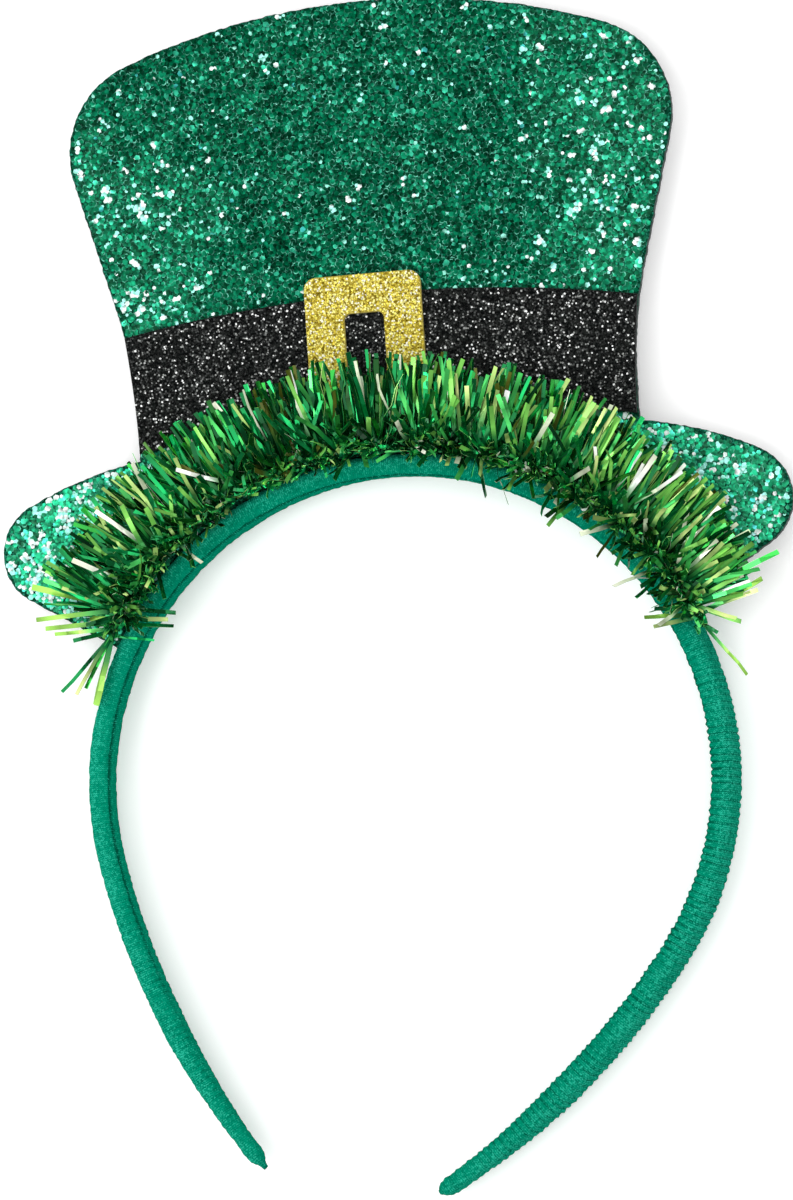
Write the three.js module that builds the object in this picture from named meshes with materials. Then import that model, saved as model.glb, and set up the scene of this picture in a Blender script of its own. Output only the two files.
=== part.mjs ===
// Costume headband that carries a flat top hat and a fringe of tinsel, lying on the band's back edge.
// Millimetres, +Z up. The origin is the middle of the back edge at the top of the band, on the surface
// that it lies on. +Y runs from the tips to the top of the band, and the hat's face looks along +Z.

import * as THREE from 'three';

const { clamp, degToRad, lerp, smoothstep } = THREE.MathUtils;

// Headband: a knitted sleeve over a sprung band
const hoopRadius = 67.5; // of the back edge's middle line, over the top of the head
const hoopHalfTurn = degToRad(113.7); // from the top to the start of each leg
const legRadius = 170;
const legTurn = degToRad(24.4);
const bandThickness = 4.8;
const bandWidth = 12; // from the back edge to the front edge
const bandCorner = 1.9;
const bandFlare = degToRad(5); // the back edge stands further out than the front edge
const tipThickness = 3.3;
const tipWidth = 6.8;
const tipTaper = 40; // length over which a leg narrows to its tip
const tipRound = 3; // length of the rounded end
const tipBlunt = 0.02; // share of that length that ends in a small flat
const bandSteps = 110;

// Hat panel, in the hat's own frame: the hoop's centre is its origin, and +Y runs up through the crown
const hatLean = degToRad(12.5); // towards -X
const gap = 0.3; // between pieces that touch
const panelBack = 6; // height of the panel's back face
const panelThickness = 2;
const crownTop = 167; // the distances up the hat are measured from the hoop's centre
const crownTopRadius = 150;
const crownCorner = 20.5;
const waistHalf = 54; // half the crown's width where its sides start to lean out
const waistHeight = 80;
const sideRadius = 100;
const sideLean = degToRad(15);
const brimJoint = 72.2; // where the crown's side meets the brim
const brimCrest = new THREE.Vector2(67.3, 70.3); // guides the brim's upper edge
const lobeCentre = new THREE.Vector2(73.7, 54);
const lobeRadius = 11.5;
const lobeTop = degToRad(62); // from the lobe's centre, where the round tip meets the upper edge
const lobeFoot = degToRad(-57); // and the lower edge
const brimSpan = degToRad(62); // from the hat's middle to where the brim's lower edge meets the band

// Hat band and buckle
const trimThickness = 1;
const trimTop = 103.8;
const trimRadius = 310; // of the band's upper edge
const trimHeight = 25;
const trimInset = 0.3; // from the crown's sides
const trimUpperHalf = 55.8;
const trimGuide = 84; // height that guides the side between the two edges
const buckleMiddle = new THREE.Vector2(-3, 91);
const buckleWidth = 25.2;
const buckleHeight = 34;
const buckleBar = 8.3;
const buckleCorner = 2.6;
const buckleHoleCorner = 1.4;

// Tinsel garland: the outer form of its strands, round a core that lies on the band's front edge
const coreRadius = 70.5;
const tinselSteps = 56;
// turn: degrees from the hat's middle; reach: outwards; drop: inwards over the band; lift: forwards
const tinselSections = [
  { turn: -71, reach: 4, drop: 2, lift: 2.5 },
  { turn: -67, reach: 12, drop: 6, lift: 8 },
  { turn: -58, reach: 18, drop: 7.5, lift: 11.5 },
  { turn: -42, reach: 20.5, drop: 4.5, lift: 12 },
  { turn: -22, reach: 18.5, drop: 2.5, lift: 11.5 },
  { turn: 0, reach: 19, drop: 3, lift: 12 },
  { turn: 18, reach: 20, drop: 5.5, lift: 12 },
  { turn: 36, reach: 19.5, drop: 9.5, lift: 12 },
  { turn: 52, reach: 20.5, drop: 9, lift: 12 },
  { turn: 63, reach: 19, drop: 6, lift: 10 },
  { turn: 68, reach: 11, drop: 4, lift: 6.5 },
  { turn: 71, reach: 4, drop: 2, lift: 2.5 },
];

const curveSegments = 10;
const sectionSegments = 2;

const knit = new THREE.MeshStandardMaterial({ color: 0x12936b, roughness: 0.85, metalness: 0 });
const greenGlitter = new THREE.MeshStandardMaterial({ color: 0x0d7a55, roughness: 0.35, metalness: 0.6 });
const blackGlitter = new THREE.MeshStandardMaterial({ color: 0x1c1b1f, roughness: 0.4, metalness: 0.5 });
const goldGlitter = new THREE.MeshStandardMaterial({ color: 0xc9a53a, roughness: 0.35, metalness: 0.7 });
const tinselFoil = new THREE.MeshStandardMaterial({ color: 0x3f8f2a, roughness: 0.2, metalness: 0.8 });

// Moves each vertex of a straight extrusion to its place on a bent one.
function bend(geometry, place) {
  const position = geometry.getAttribute('position');
  const point = new THREE.Vector3();
  for (let i = 0; i < position.count; i++) {
    point.fromBufferAttribute(position, i);
    position.setXYZ(i, ...place(point).toArray());
  }
  geometry.computeVertexNormals();
  return geometry;
}

// An extrusion along -1 to 1, to be bent.
function straightRun(section, steps) {
  const length = 2;
  const run = new THREE.ExtrudeGeometry(section, {
    depth: length,
    steps,
    curveSegments: sectionSegments,
    bevelEnabled: false,
  });
  return run.translate(0, 0, -length / 2);
}

function roundedRectangle(Kind, width, height, corner, middle = new THREE.Vector2()) {
  const right = middle.x + width / 2 - corner;
  const left = middle.x - width / 2 + corner;
  const top = middle.y + height / 2 - corner;
  const bottom = middle.y - height / 2 + corner;
  const quarter = Math.PI / 2;
  const path = new Kind();
  path.absarc(right, bottom, corner, -quarter, 0);
  path.absarc(right, top, corner, 0, quarter);
  path.absarc(left, top, corner, quarter, 2 * quarter);
  path.absarc(left, bottom, corner, 2 * quarter, 3 * quarter);
  path.closePath();
  return path;
}

// The middle of the back edge and its outward direction, at a signed length from the top of the band.
function bandPlace(length) {
  const side = Math.sign(length);
  const turn = Math.abs(length) / hoopRadius;
  const past = Math.max(0, turn - hoopHalfTurn) * hoopRadius;
  const angle = Math.min(turn, hoopHalfTurn) + past / legRadius;
  const outward = new THREE.Vector2(Math.sin(angle), Math.cos(angle));
  const middle = new THREE.Vector2(0, -hoopRadius);
  if (past > 0) {
    middle.x += (hoopRadius - legRadius) * Math.sin(hoopHalfTurn);
    middle.y += (hoopRadius - legRadius) * Math.cos(hoopHalfTurn);
  }
  middle.addScaledVector(outward, past > 0 ? legRadius : hoopRadius);
  middle.x *= side;
  outward.x *= side;
  return { middle, outward };
}

// One section follows the hoop and both legs. It narrows towards each tip and is rounded off there.
function headband() {
  const halfLength = hoopRadius * hoopHalfTurn + legRadius * legTurn;
  const section = roundedRectangle(THREE.Shape, bandThickness, bandWidth, bandCorner);
  return bend(straightRun(section, bandSteps), (point) => {
    const length = halfLength * Math.sin((point.z * Math.PI) / 2);
    const toTip = halfLength - Math.abs(length);
    const full = smoothstep(toTip, 0, tipTaper);
    const nose = Math.sqrt(Math.max(0, 1 - (1 - clamp(toTip / tipRound, tipBlunt, 1)) ** 2));
    const thick = point.x * nose * lerp(tipThickness / bandThickness, 1, full);
    const height = bandWidth / 2 + point.y * nose * lerp(tipWidth / bandWidth, 1, full);
    const { middle, outward } = bandPlace(length);
    middle.addScaledVector(outward, thick - height * Math.tan(bandFlare));
    return new THREE.Vector3(middle.x, middle.y, height);
  });
}

// Outer radius of the band about the hoop's centre, at a height.
function bandOuterRadius(height) {
  return hoopRadius + bandThickness / 2 - height * Math.tan(bandFlare);
}

// Centre of the crown's round corner, which touches the leaning side and the top's arc.
function crownCornerCentre() {
  const topCentre = new THREE.Vector2(0, crownTop - crownTopRadius);
  const up = new THREE.Vector2(Math.sin(sideLean), Math.cos(sideLean));
  const inward = new THREE.Vector2(-up.y, up.x);
  const start = new THREE.Vector2(waistHalf, waistHeight);
  start.x += sideRadius * (1 - Math.cos(sideLean));
  start.y += sideRadius * Math.sin(sideLean);
  start.addScaledVector(inward, crownCorner).sub(topCentre);
  const along = start.dot(up);
  const reach = crownTopRadius - crownCorner;
  const climb = Math.sqrt(along ** 2 - start.lengthSq() + reach ** 2) - along;
  return start.addScaledVector(up, climb).add(topCentre);
}

// Crown and brim in one outline, from the right end of the edge that sits on the band.
function hatOutline() {
  const seat = bandOuterRadius(panelBack) + gap;
  const seatEnd = Math.PI / 2 - brimSpan;
  const corner = crownCornerCentre();
  const topHeight = crownTop - crownTopRadius;
  const topEnd = Math.atan2(corner.y - topHeight, corner.x);
  const sideCentre = waistHalf + sideRadius;
  const lobeStart = {
    x: lobeCentre.x + lobeRadius * Math.cos(lobeTop),
    y: lobeCentre.y + lobeRadius * Math.sin(lobeTop),
  };
  const outline = new THREE.Shape();
  outline.moveTo(seat * Math.cos(seatEnd), seat * Math.sin(seatEnd));
  outline.absarc(lobeCentre.x, lobeCentre.y, lobeRadius, lobeFoot, lobeTop);
  outline.quadraticCurveTo(brimCrest.x, brimCrest.y, waistHalf, brimJoint);
  outline.absarc(sideCentre, waistHeight, sideRadius, Math.PI, Math.PI - sideLean, true);
  outline.absarc(corner.x, corner.y, crownCorner, -sideLean, topEnd);
  outline.absarc(0, topHeight, crownTopRadius, topEnd, Math.PI - topEnd);
  outline.absarc(-corner.x, corner.y, crownCorner, Math.PI - topEnd, Math.PI + sideLean);
  outline.absarc(-sideCentre, waistHeight, sideRadius, sideLean, 0, true);
  outline.lineTo(-waistHalf, brimJoint);
  outline.quadraticCurveTo(-brimCrest.x, brimCrest.y, -lobeStart.x, lobeStart.y);
  outline.absarc(-lobeCentre.x, lobeCentre.y, lobeRadius, Math.PI - lobeTop, Math.PI - lobeFoot);
  outline.absarc(0, 0, seat, Math.PI - seatEnd, seatEnd, true);
  return outline;
}

// A strip across the crown, between two arcs about one centre.
function hatBandOutline() {
  const centre = trimTop - trimRadius;
  const lowerRadius = trimRadius - trimHeight;
  const upperHalf = trimUpperHalf - trimInset;
  const lowerHalf = waistHalf - trimInset;
  const upperEnd = Math.acos(upperHalf / trimRadius);
  const lowerEnd = Math.acos(lowerHalf / lowerRadius);
  const lowerCorner = centre + lowerRadius * Math.sin(lowerEnd);
  const upperCorner = centre + trimRadius * Math.sin(upperEnd);
  const outline = new THREE.Shape();
  outline.moveTo(lowerHalf, lowerCorner);
  outline.quadraticCurveTo(lowerHalf, trimGuide, upperHalf, upperCorner);
  outline.absarc(0, centre, trimRadius, upperEnd, Math.PI - upperEnd);
  outline.quadraticCurveTo(-lowerHalf, trimGuide, -lowerHalf, lowerCorner);
  outline.absarc(0, centre, lowerRadius, Math.PI - lowerEnd, lowerEnd, true);
  return outline;
}

function buckleOutline() {
  const outline = roundedRectangle(THREE.Shape, buckleWidth, buckleHeight, buckleCorner, buckleMiddle);
  const holeWidth = buckleWidth - 2 * buckleBar;
  const holeHeight = buckleHeight - 2 * buckleBar;
  const hole = roundedRectangle(THREE.Path, holeWidth, holeHeight, buckleHoleCorner, buckleMiddle);
  outline.holes.push(hole);
  return outline;
}

function plate(outline, back, thickness) {
  const sheet = new THREE.ExtrudeGeometry(outline, { depth: thickness, curveSegments, bevelEnabled: false });
  return sheet.translate(0, 0, back);
}

// The tinsel's size at a turn from the hat's middle, between two rows of its table.
function tinselSize(turn) {
  const last = tinselSections.length - 1;
  const next = clamp(tinselSections.findIndex((row) => row.turn >= turn), 1, last);
  const [from, to] = [tinselSections[next - 1], tinselSections[next]];
  const share = smoothstep(turn, from.turn, to.turn);
  const between = (column) => lerp(from[column], to[column], share);
  return { reach: between('reach'), drop: between('drop'), lift: between('lift') };
}

// Half a disc, stretched outwards, inwards and forwards by the table and carried round the hoop.
function tinselGarland() {
  const first = tinselSections[0].turn;
  const last = tinselSections[tinselSections.length - 1].turn;
  const base = bandWidth + gap;
  const section = new THREE.Shape().absarc(0, 0, 1, 0, Math.PI);
  section.closePath();
  const run = straightRun(section, tinselSteps);
  return bend(run, (point) => {
    const turn = lerp(first, last, (point.z + 1) / 2);
    const { reach, drop, lift } = tinselSize(turn);
    const radius = coreRadius + point.x * (point.x > 0 ? reach : drop);
    const angle = degToRad(turn);
    return new THREE.Vector3(radius * Math.sin(angle), radius * Math.cos(angle), base + point.y * lift);
  });
}

function piece(name, geometry, material) {
  const mesh = new THREE.Mesh(geometry, material);
  mesh.name = name;
  return mesh;
}

const panelFront = panelBack + panelThickness;
const trimBack = panelFront + gap;
const buckleBack = trimBack + trimThickness + gap;

const hat = new THREE.Group();
hat.position.y = -hoopRadius;
hat.rotation.z = hatLean;
hat.add(piece('hat_panel', plate(hatOutline(), panelBack, panelThickness), greenGlitter));
hat.add(piece('hat_band', plate(hatBandOutline(), trimBack, trimThickness), blackGlitter));
hat.add(piece('buckle', plate(buckleOutline(), buckleBack, trimThickness), goldGlitter));
hat.add(piece('tinsel_garland', tinselGarland(), tinselFoil));

const hatHeadband = new THREE.Group();
hatHeadband.add(piece('headband', headband(), knit));
hatHeadband.add(hat);

export default hatHeadband;
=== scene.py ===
"""Looks of a costume headband that carries a flat glitter top hat and a fringe of tinsel.

Metres, +Z up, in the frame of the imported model: the headband lies on its back edge, the hat's face looks up,
and +Y runs from the headband's tips to its top.
"""

import logging
import math
from collections.abc import Mapping, Sequence
from dataclasses import dataclass, field
from enum import Enum
from typing import Any, Union

import bmesh
import bpy
import numpy as np
from mathutils import Matrix, Vector, noise


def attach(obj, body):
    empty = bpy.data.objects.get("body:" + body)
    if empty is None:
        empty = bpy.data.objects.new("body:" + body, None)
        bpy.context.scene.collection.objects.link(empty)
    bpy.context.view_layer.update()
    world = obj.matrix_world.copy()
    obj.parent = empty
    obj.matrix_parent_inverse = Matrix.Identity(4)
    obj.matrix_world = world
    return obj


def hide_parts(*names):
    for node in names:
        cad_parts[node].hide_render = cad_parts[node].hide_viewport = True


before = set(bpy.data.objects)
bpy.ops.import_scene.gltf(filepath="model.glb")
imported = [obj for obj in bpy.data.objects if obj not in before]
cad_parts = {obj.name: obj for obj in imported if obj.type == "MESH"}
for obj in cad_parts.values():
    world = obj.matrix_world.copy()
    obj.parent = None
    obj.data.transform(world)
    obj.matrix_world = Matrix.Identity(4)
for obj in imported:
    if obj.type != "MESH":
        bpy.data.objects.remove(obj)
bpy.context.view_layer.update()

LOG = logging.getLogger("mini_hat_headband")
MM = 0.001
BODY = "root"
UP = np.array([0.0, 0.0, 1.0])
BLACK = (0.0, 0.0, 0.0)
TONE_SPREAD = (0.75, 1.3)
DRIFT_STEP = 17.3

# Names of what meshes hold for their shaders, and the free rim of a cell of the baking map
TINT = "tint"
GLOSS = "gloss"
ALONG = "along"
AROUND = "around"
FLECK = "fleck"
HOLLOW_SHADE = "hollow"
BAKE_MAP = "OFBake"
CELL_MARGIN = 0.2

# Merge distance in metres, least height of a level face's normal, least turn of a sharp edge in radians
MERGE = 1e-6
LEVEL = 0.9
SHARP = 1.0

# Sizes that several sub-assemblies share
HOOP_RADIUS = 67.5 * MM
HAT_LEAN = math.radians(12.5)
HAT_PLACE = Matrix.Translation((0, -HOOP_RADIUS, 0)) @ Matrix.Rotation(HAT_LEAN, 4, "Z")
BAND_WIDTH = 12 * MM
BAND_THICKNESS = 4.8 * MM
BAND_FLARE = math.tan(math.radians(5))

Colour = tuple[float, float, float]
Place = tuple[float, float, float]
Spot = tuple[float, float]
Range = tuple[float, float]
Weights = tuple[float, ...]
Rows = tuple[tuple[float, float], ...]
Pieces = list[bpy.types.Object]
Number = Union[int, float, "Value"]
Settings = Mapping[str, Any]
Inputs = Mapping[str | int, Any]


class Slot(Enum):
    """The record's material slots."""

    KNIT = "knit_fabric"
    GREEN = "green_glitter"
    BLACK = "black_glitter"
    GOLD = "gold_glitter"
    FOIL = "tinsel_foil"


class Flake(Enum):
    """Outlines of glitter flakes, as a number of sides."""

    HEXAGON = 6
    SQUARE = 4


class Side(Enum):
    """Sides of a plate, as numbers of its material slots."""

    FRONT = 0
    EDGE = 1
    BACK = 2

    @classmethod
    def of(cls, face: bmesh.types.BMFace) -> "Side":
        """The side that a face is on."""
        level = cls.FRONT if face.normal.z > 0 else cls.BACK
        return level if abs(face.normal.z) > LEVEL else cls.EDGE


class Drift(Enum):
    """Fields of smooth noise, each with a shift of its own."""

    RAG_ACROSS = 1
    RAG_UP = 2
    RIB_SHIFT = 3
    PATCHES = 4
    RIB_STRENGTH = 5
    CLUSTERS = 6
    SWELL = 8
    SPECKS = 9
    ROUGH = 11
    CLUMPS = 12
    LEAN = 14


class Value:
    """A shader value. Arithmetic on it adds Math nodes to its material."""

    def __init__(self, shader: "Shader", socket: bpy.types.NodeSocket) -> None:
        """Keeps the output socket that the value comes from."""
        self.shader = shader
        self.socket = socket

    def math(self, operation: str, *terms: Number) -> "Value":
        """Adds one Math node with its inputs in order."""
        return self.shader.value("ShaderNodeMath", 0, {"operation": operation}, dict(enumerate(terms)))

    def __add__(self, other: Number) -> "Value":
        """Sum."""
        return self.math("ADD", self, other)

    __radd__ = __add__

    def __sub__(self, other: Number) -> "Value":
        """Difference."""
        return self.math("SUBTRACT", self, other)

    def __rsub__(self, other: Number) -> "Value":
        """Difference from a number."""
        return self.math("SUBTRACT", other, self)

    def __mul__(self, other: Number) -> "Value":
        """Product."""
        return self.math("MULTIPLY", self, other)

    __rmul__ = __mul__

    def __truediv__(self, other: Number) -> "Value":
        """Quotient."""
        return self.math("DIVIDE", self, other)

    def __rtruediv__(self, other: Number) -> "Value":
        """Quotient of a number."""
        return self.math("DIVIDE", other, self)

    def __pow__(self, other: Number) -> "Value":
        """Power."""
        return self.math("POWER", self, other)

    def __rpow__(self, other: Number) -> "Value":
        """Power of a number."""
        return self.math("POWER", other, self)

    def __abs__(self) -> "Value":
        """Size without its sign."""
        return self.math("ABSOLUTE", self)

    def fraction(self) -> "Value":
        """What is left over whole numbers."""
        return self.math("FRACT", self)

    def whole(self) -> "Value":
        """The whole number below."""
        return self.math("FLOOR", self)

    def larger(self, other: Number) -> "Value":
        """The larger of two values."""
        return self.math("MAXIMUM", self, other)

    def between(self, low: float, high: float) -> "Value":
        """Smooth step from 0 at low to 1 at high."""
        inputs = {"Value": self, "From Min": low, "From Max": high}
        return self.shader.value("ShaderNodeMapRange", "Result", {"interpolation_type": "SMOOTHSTEP"}, inputs)


def weighed(weights: Weights, *values: Value) -> Value:
    """Sums shader values, each times its weight.

    Args:
        weights: One weight for each value.
        values: The values.

    Returns:
        The sum.
    """
    total = values[0] * weights[0]
    for weight, value in zip(weights[1:], values[1:]):
        total = total + value * weight
    return total


class Shader:
    """The node tree of one material."""

    def __init__(self, name: str) -> None:
        """Makes a material with a Principled surface.

        Args:
            name: The material's name.
        """
        self.material = bpy.data.materials.new(name)
        self.material.use_nodes = True
        self.tree = self.material.node_tree
        self.surface = self.tree.nodes["Principled BSDF"]

    def node(
        self, kind: str, settings: Settings | None = None, inputs: Inputs | None = None
    ) -> bpy.types.Node:
        """Adds a node.

        Args:
            kind: Its type.
            settings: Its own settings, set first.
            inputs: Values or links of its sockets, by name or number.

        Returns:
            The node.
        """
        node = self.tree.nodes.new(kind)
        for key, setting in (settings or {}).items():
            setattr(node, key, setting)
        for key, value in (inputs or {}).items():
            self.feed(node.inputs[key], value)
        return node

    def value(
        self, kind: str, output: str | int, settings: Settings | None = None, inputs: Inputs | None = None
    ) -> Value:
        """Adds a node and gives one of its outputs as a value."""
        return Value(self, self.node(kind, settings, inputs).outputs[output])

    def feed(self, socket: bpy.types.NodeSocket, value: Any) -> None:
        """Links a value or an output to a socket, or sets the socket to a number or colour.

        Args:
            socket: The socket.
            value: What it gets.
        """
        if isinstance(value, Value):
            self.tree.links.new(value.socket, socket)
        elif isinstance(value, bpy.types.NodeSocket):
            self.tree.links.new(value, socket)
        elif socket.type == "RGBA" and len(value) == 3:
            socket.default_value = (*value, 1.0)
        else:
            socket.default_value = value

    def set(self, **sockets: Any) -> None:
        """Feeds the surface's sockets, named with _ for each space."""
        for key, value in sockets.items():
            self.feed(self.surface.inputs[key.replace("_", " ")], value)

    def place(self) -> bpy.types.NodeSocket:
        """The piece's own coordinates, in metres."""
        return self.node("ShaderNodeTexCoord").outputs["Object"]

    def attribute(self, name: str) -> Value:
        """A number that the mesh holds at each point."""
        return self.value("ShaderNodeAttribute", "Fac", {"attribute_name": name})

    def attribute_colour(self, name: str) -> bpy.types.NodeSocket:
        """A colour that the mesh holds at each point."""
        return self.node("ShaderNodeAttribute", {"attribute_name": name}).outputs["Color"]

    def grain(self, pitch: float, detail: float = 2.0, at: bpy.types.NodeSocket | None = None) -> Value:
        """Adds noise about 0.5.

        Args:
            pitch: Size of its spots in metres.
            detail: Octaves of finer noise on top.
            at: Coordinates, the piece's own if none are given.

        Returns:
            The noise.
        """
        inputs = {"Vector": at or self.place(), "Scale": 1 / pitch, "Detail": detail, "Roughness": 0.6}
        return self.value("ShaderNodeTexNoise", "Fac", None, inputs)

    def chance(self, first: Value, second: Value) -> Value:
        """A random number from 0 to 1 for each pair of whole numbers."""
        pair = self.node("ShaderNodeCombineXYZ", None, {0: first, 1: second}).outputs[0]
        return self.value("ShaderNodeTexWhiteNoise", "Value", {"noise_dimensions": "2D"}, {"Vector": pair})

    def mix(self, share: Number, first: Any, second: Any) -> bpy.types.NodeSocket:
        """Mixes two colours. The Mix node's colour sockets are its inputs 6 and 7 and its output 2.

        Args:
            share: How much of the second colour shows.
            first: A colour or a colour's socket.
            second: Another.

        Returns:
            The mixed colour's socket.
        """
        node = self.node("ShaderNodeMix", {"data_type": "RGBA"}, {0: share, 6: first, 7: second})
        return node.outputs[2]

    def bump(self, height: Value, depth: float) -> bpy.types.NodeSocket:
        """Turns a height from 0 to 1 into a bumped normal; the depth is what 1 is, in metres."""
        inputs = {"Height": height, "Distance": depth, "Strength": 1.0}
        return self.node("ShaderNodeBump", None, inputs).outputs["Normal"]


@dataclass(frozen=True)
class KnitFinish:
    """A fine knitted sleeve. It follows the numbers along, around, fleck and hollow (painted shade) that its
    mesh holds.
    """

    wale: float = 0.50 * MM
    course: float = 0.46 * MM
    slope: float = 0.45
    fuzz: float = 0.30 * MM
    mottle: float = 0.5 * MM
    blotch: float = 3 * MM
    stitch_depth: float = 0.12 * MM
    stitch_weights: Weights = (0.65, 0.35)
    stitch_range: Range = (0.1, 0.9)
    fleck_weights: Weights = (0.9, 0.25, 0.25, 0.30)
    fleck_range: Range = (0.95, 1.18)
    fleck_gloss: float = 0.2
    shade_weights: Weights = (0.30, 0.15, 0.5, 0.3, -0.9)
    shade_range: Range = (-0.05, 0.85)
    roughness: float = 0.95
    deep: Colour = (0.000, 0.085, 0.048)
    face: Colour = (0.000, 0.262, 0.150)
    pale: Colour = (0.022, 0.450, 0.300)

    def material(self) -> bpy.types.Material:
        """Builds V-shaped stitches with paler flecks on their crowns, and painted shade in the hollows that
        the mesh marks.

        Returns:
            The material.
        """
        knit = Shader("teal_knit")
        wales = knit.attribute(AROUND) / self.wale
        across = wales.fraction() - 0.5
        courses = knit.attribute(ALONG) / self.course + abs(across) * (2 * self.slope)
        strand = 1 - abs(courses.fraction() - 0.5) * 2
        spine = 1 - abs(abs(across) * 4 - 1)
        stitch = weighed(self.stitch_weights, strand, spine).between(*self.stitch_range)
        chance = knit.chance(wales.whole(), courses.whole())
        fuzz = knit.grain(self.fuzz, 1)
        fleck = weighed(self.fleck_weights, fuzz, chance, strand, knit.attribute(FLECK))
        light = fleck.between(*self.fleck_range)
        mottle = knit.grain(self.mottle, 1)
        blotch = knit.grain(self.blotch, 3)
        # Painted shade: the hollow number, weighed negative, darkens the colour in the seam groove and rib
        # hollows
        shade = weighed(self.shade_weights, stitch, chance, mottle, blotch, knit.attribute(HOLLOW_SHADE))
        body = knit.mix(shade.between(*self.shade_range), self.deep, self.face)
        knit.set(
            Base_Color=knit.mix(light, body, self.pale),
            Roughness=self.roughness - light * self.fleck_gloss,
            Normal=knit.bump(stitch, self.stitch_depth),
            Specular_IOR_Level=0.0,
        )
        return knit.material


@dataclass(frozen=True)
class GlitterFinish:
    """Loose metallic flakes, each with a colour and a gloss of its own."""

    name: str
    least_roughness: float
    dust: float
    dulling: float = 0.6
    smear: float = 0.5 * MM
    smear_range: Range = (0.45, 0.75)
    smear_roughness: float = 0.12
    matte_roughness: float = 0.25

    def material(self) -> bpy.types.Material:
        """Builds the flakes' finish from the colours that their mesh holds.

        Returns:
            The material.
        """
        glitter = Shader(self.name)
        smear = glitter.grain(self.smear)
        tint = glitter.attribute_colour(TINT)
        dull = glitter.mix(self.dulling, tint, BLACK)
        gloss = glitter.attribute(GLOSS)
        rough = self.least_roughness + smear * self.smear_roughness
        glitter.set(
            Base_Color=glitter.mix(smear.between(*self.smear_range) * self.dust, tint, dull),
            Metallic=gloss,
            Roughness=rough + (1 - gloss) * self.matte_roughness,
            Specular_IOR_Level=0.0,
        )
        return glitter.material


@dataclass(frozen=True)
class GroundFinish:
    """The glued ground that the flakes lie on: fine chips of the same glitter."""

    name: str
    deep: Colour
    bright: Colour
    chip: float
    contrast: float = 3.0
    least_roughness: float = 0.5
    tone_roughness: float = 0.3
    dip: float = 0.5
    depth: float = 0.12 * MM

    def material(self) -> bpy.types.Material:
        """Builds a field of small chips with raised edges.

        Returns:
            The material.
        """
        ground = Shader(self.name)
        inputs = {"Vector": ground.place(), "Scale": 1 / self.chip}
        chips = ground.node("ShaderNodeTexVoronoi", {"feature": "F1"}, inputs)
        tone = ground.value("ShaderNodeSeparateColor", 0, None, {0: chips.outputs["Color"]})
        rise = Value(ground, chips.outputs["Distance"])
        ground.set(
            Base_Color=ground.mix(tone ** self.contrast, self.deep, self.bright),
            Roughness=self.least_roughness + tone * self.tone_roughness,
            Normal=ground.bump(tone - rise * self.dip, self.depth),
            Specular_IOR_Level=0.0,
        )
        return ground.material


@dataclass(frozen=True)
class FeltFinish:
    """Pressed fibres that lie in two directions, with turns in radians."""

    name: str
    deep: Colour
    pale: Colour
    fibre: float = 0.35 * MM
    stretch: float = 0.16
    turns: tuple[float, float] = (0.4, 1.9)
    blotch: float = 6 * MM
    blotch_share: float = 0.4
    shade_range: Range = (0.55, 1.05)
    roughness: float = 0.96
    fibre_gloss: float = 0.08
    depth: float = 0.25 * MM

    def material(self) -> bpy.types.Material:
        """Builds stretched noise in two directions, which reads as matted fibres.

        Returns:
            The material.
        """
        felt = Shader(self.name)
        layers = []
        for turn in self.turns:
            inputs = {"Vector": felt.place(), "Rotation": (0.0, 0.0, turn), "Scale": (1.0, self.stretch, 1.0)}
            mapped = felt.node("ShaderNodeMapping", None, inputs).outputs["Vector"]
            layers.append(felt.grain(self.fibre, 3, mapped))
        fibres = layers[0].larger(layers[1])
        shade = fibres + felt.grain(self.blotch) * self.blotch_share
        felt.set(
            Base_Color=felt.mix(shade.between(*self.shade_range), self.deep, self.pale),
            Roughness=self.roughness - fibres * self.fibre_gloss,
            Normal=felt.bump(fibres, self.depth),
            Sheen_Weight=0.05,
            Specular_IOR_Level=0.1,
        )
        return felt.material


@dataclass(frozen=True)
class FoilFinish:
    """Metallised film, with a colour for each side of each strip in the mesh."""

    name: str = "two_tone_foil"
    least_roughness: float = 0.08
    crease: float = 3.2 * MM
    crease_range: Range = (0.35, 0.8)
    crease_roughness: float = 0.10
    crease_depth: float = 0.015 * MM

    def material(self) -> bpy.types.Material:
        """Builds a shiny film with fine creases.

        Returns:
            The material.
        """
        foil = Shader(self.name)
        crease = foil.grain(self.crease, 0)
        foil.set(
            Base_Color=foil.attribute_colour(TINT),
            Metallic=foil.attribute(GLOSS),
            Roughness=self.least_roughness + crease.between(*self.crease_range) * self.crease_roughness,
            Normal=foil.bump(crease, self.crease_depth),
            Specular_IOR_Level=0.0,
            Coat_Weight=0.28,
            Coat_Roughness=0.05,
        )
        return foil.material


@dataclass(frozen=True)
class FloorFinish:
    """A pale matte floor, lit a little from below like a studio table."""

    colour: Colour = (0.93, 0.93, 0.93)
    spot: float = 0.2
    dimming: float = 0.99
    glow: float = 0.15

    def material(self) -> bpy.types.Material:
        """Builds the floor's material, with faint unevenness.

        Returns:
            The material.
        """
        floor = Shader("pale_floor")
        darker = tuple(self.dimming * part for part in self.colour)
        floor.set(
            Base_Color=floor.mix(floor.grain(self.spot), self.colour, darker),
            Roughness=0.9,
            Specular_IOR_Level=0.1,
            Emission_Color=self.colour,
            Emission_Strength=self.glow,
        )
        return floor.material


def hand_over(piece: bpy.types.Object, slot: Slot, *nodes: str) -> bpy.types.Object:
    """Rides a finished piece on the body, and hides the nodes that it stands for.

    Args:
        piece: The piece.
        slot: Not used.
        nodes: The nodes that it replaces, if any.

    Returns:
        The piece.
    """
    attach(piece, BODY)
    if nodes:
        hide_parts(*nodes)
    return piece


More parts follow.
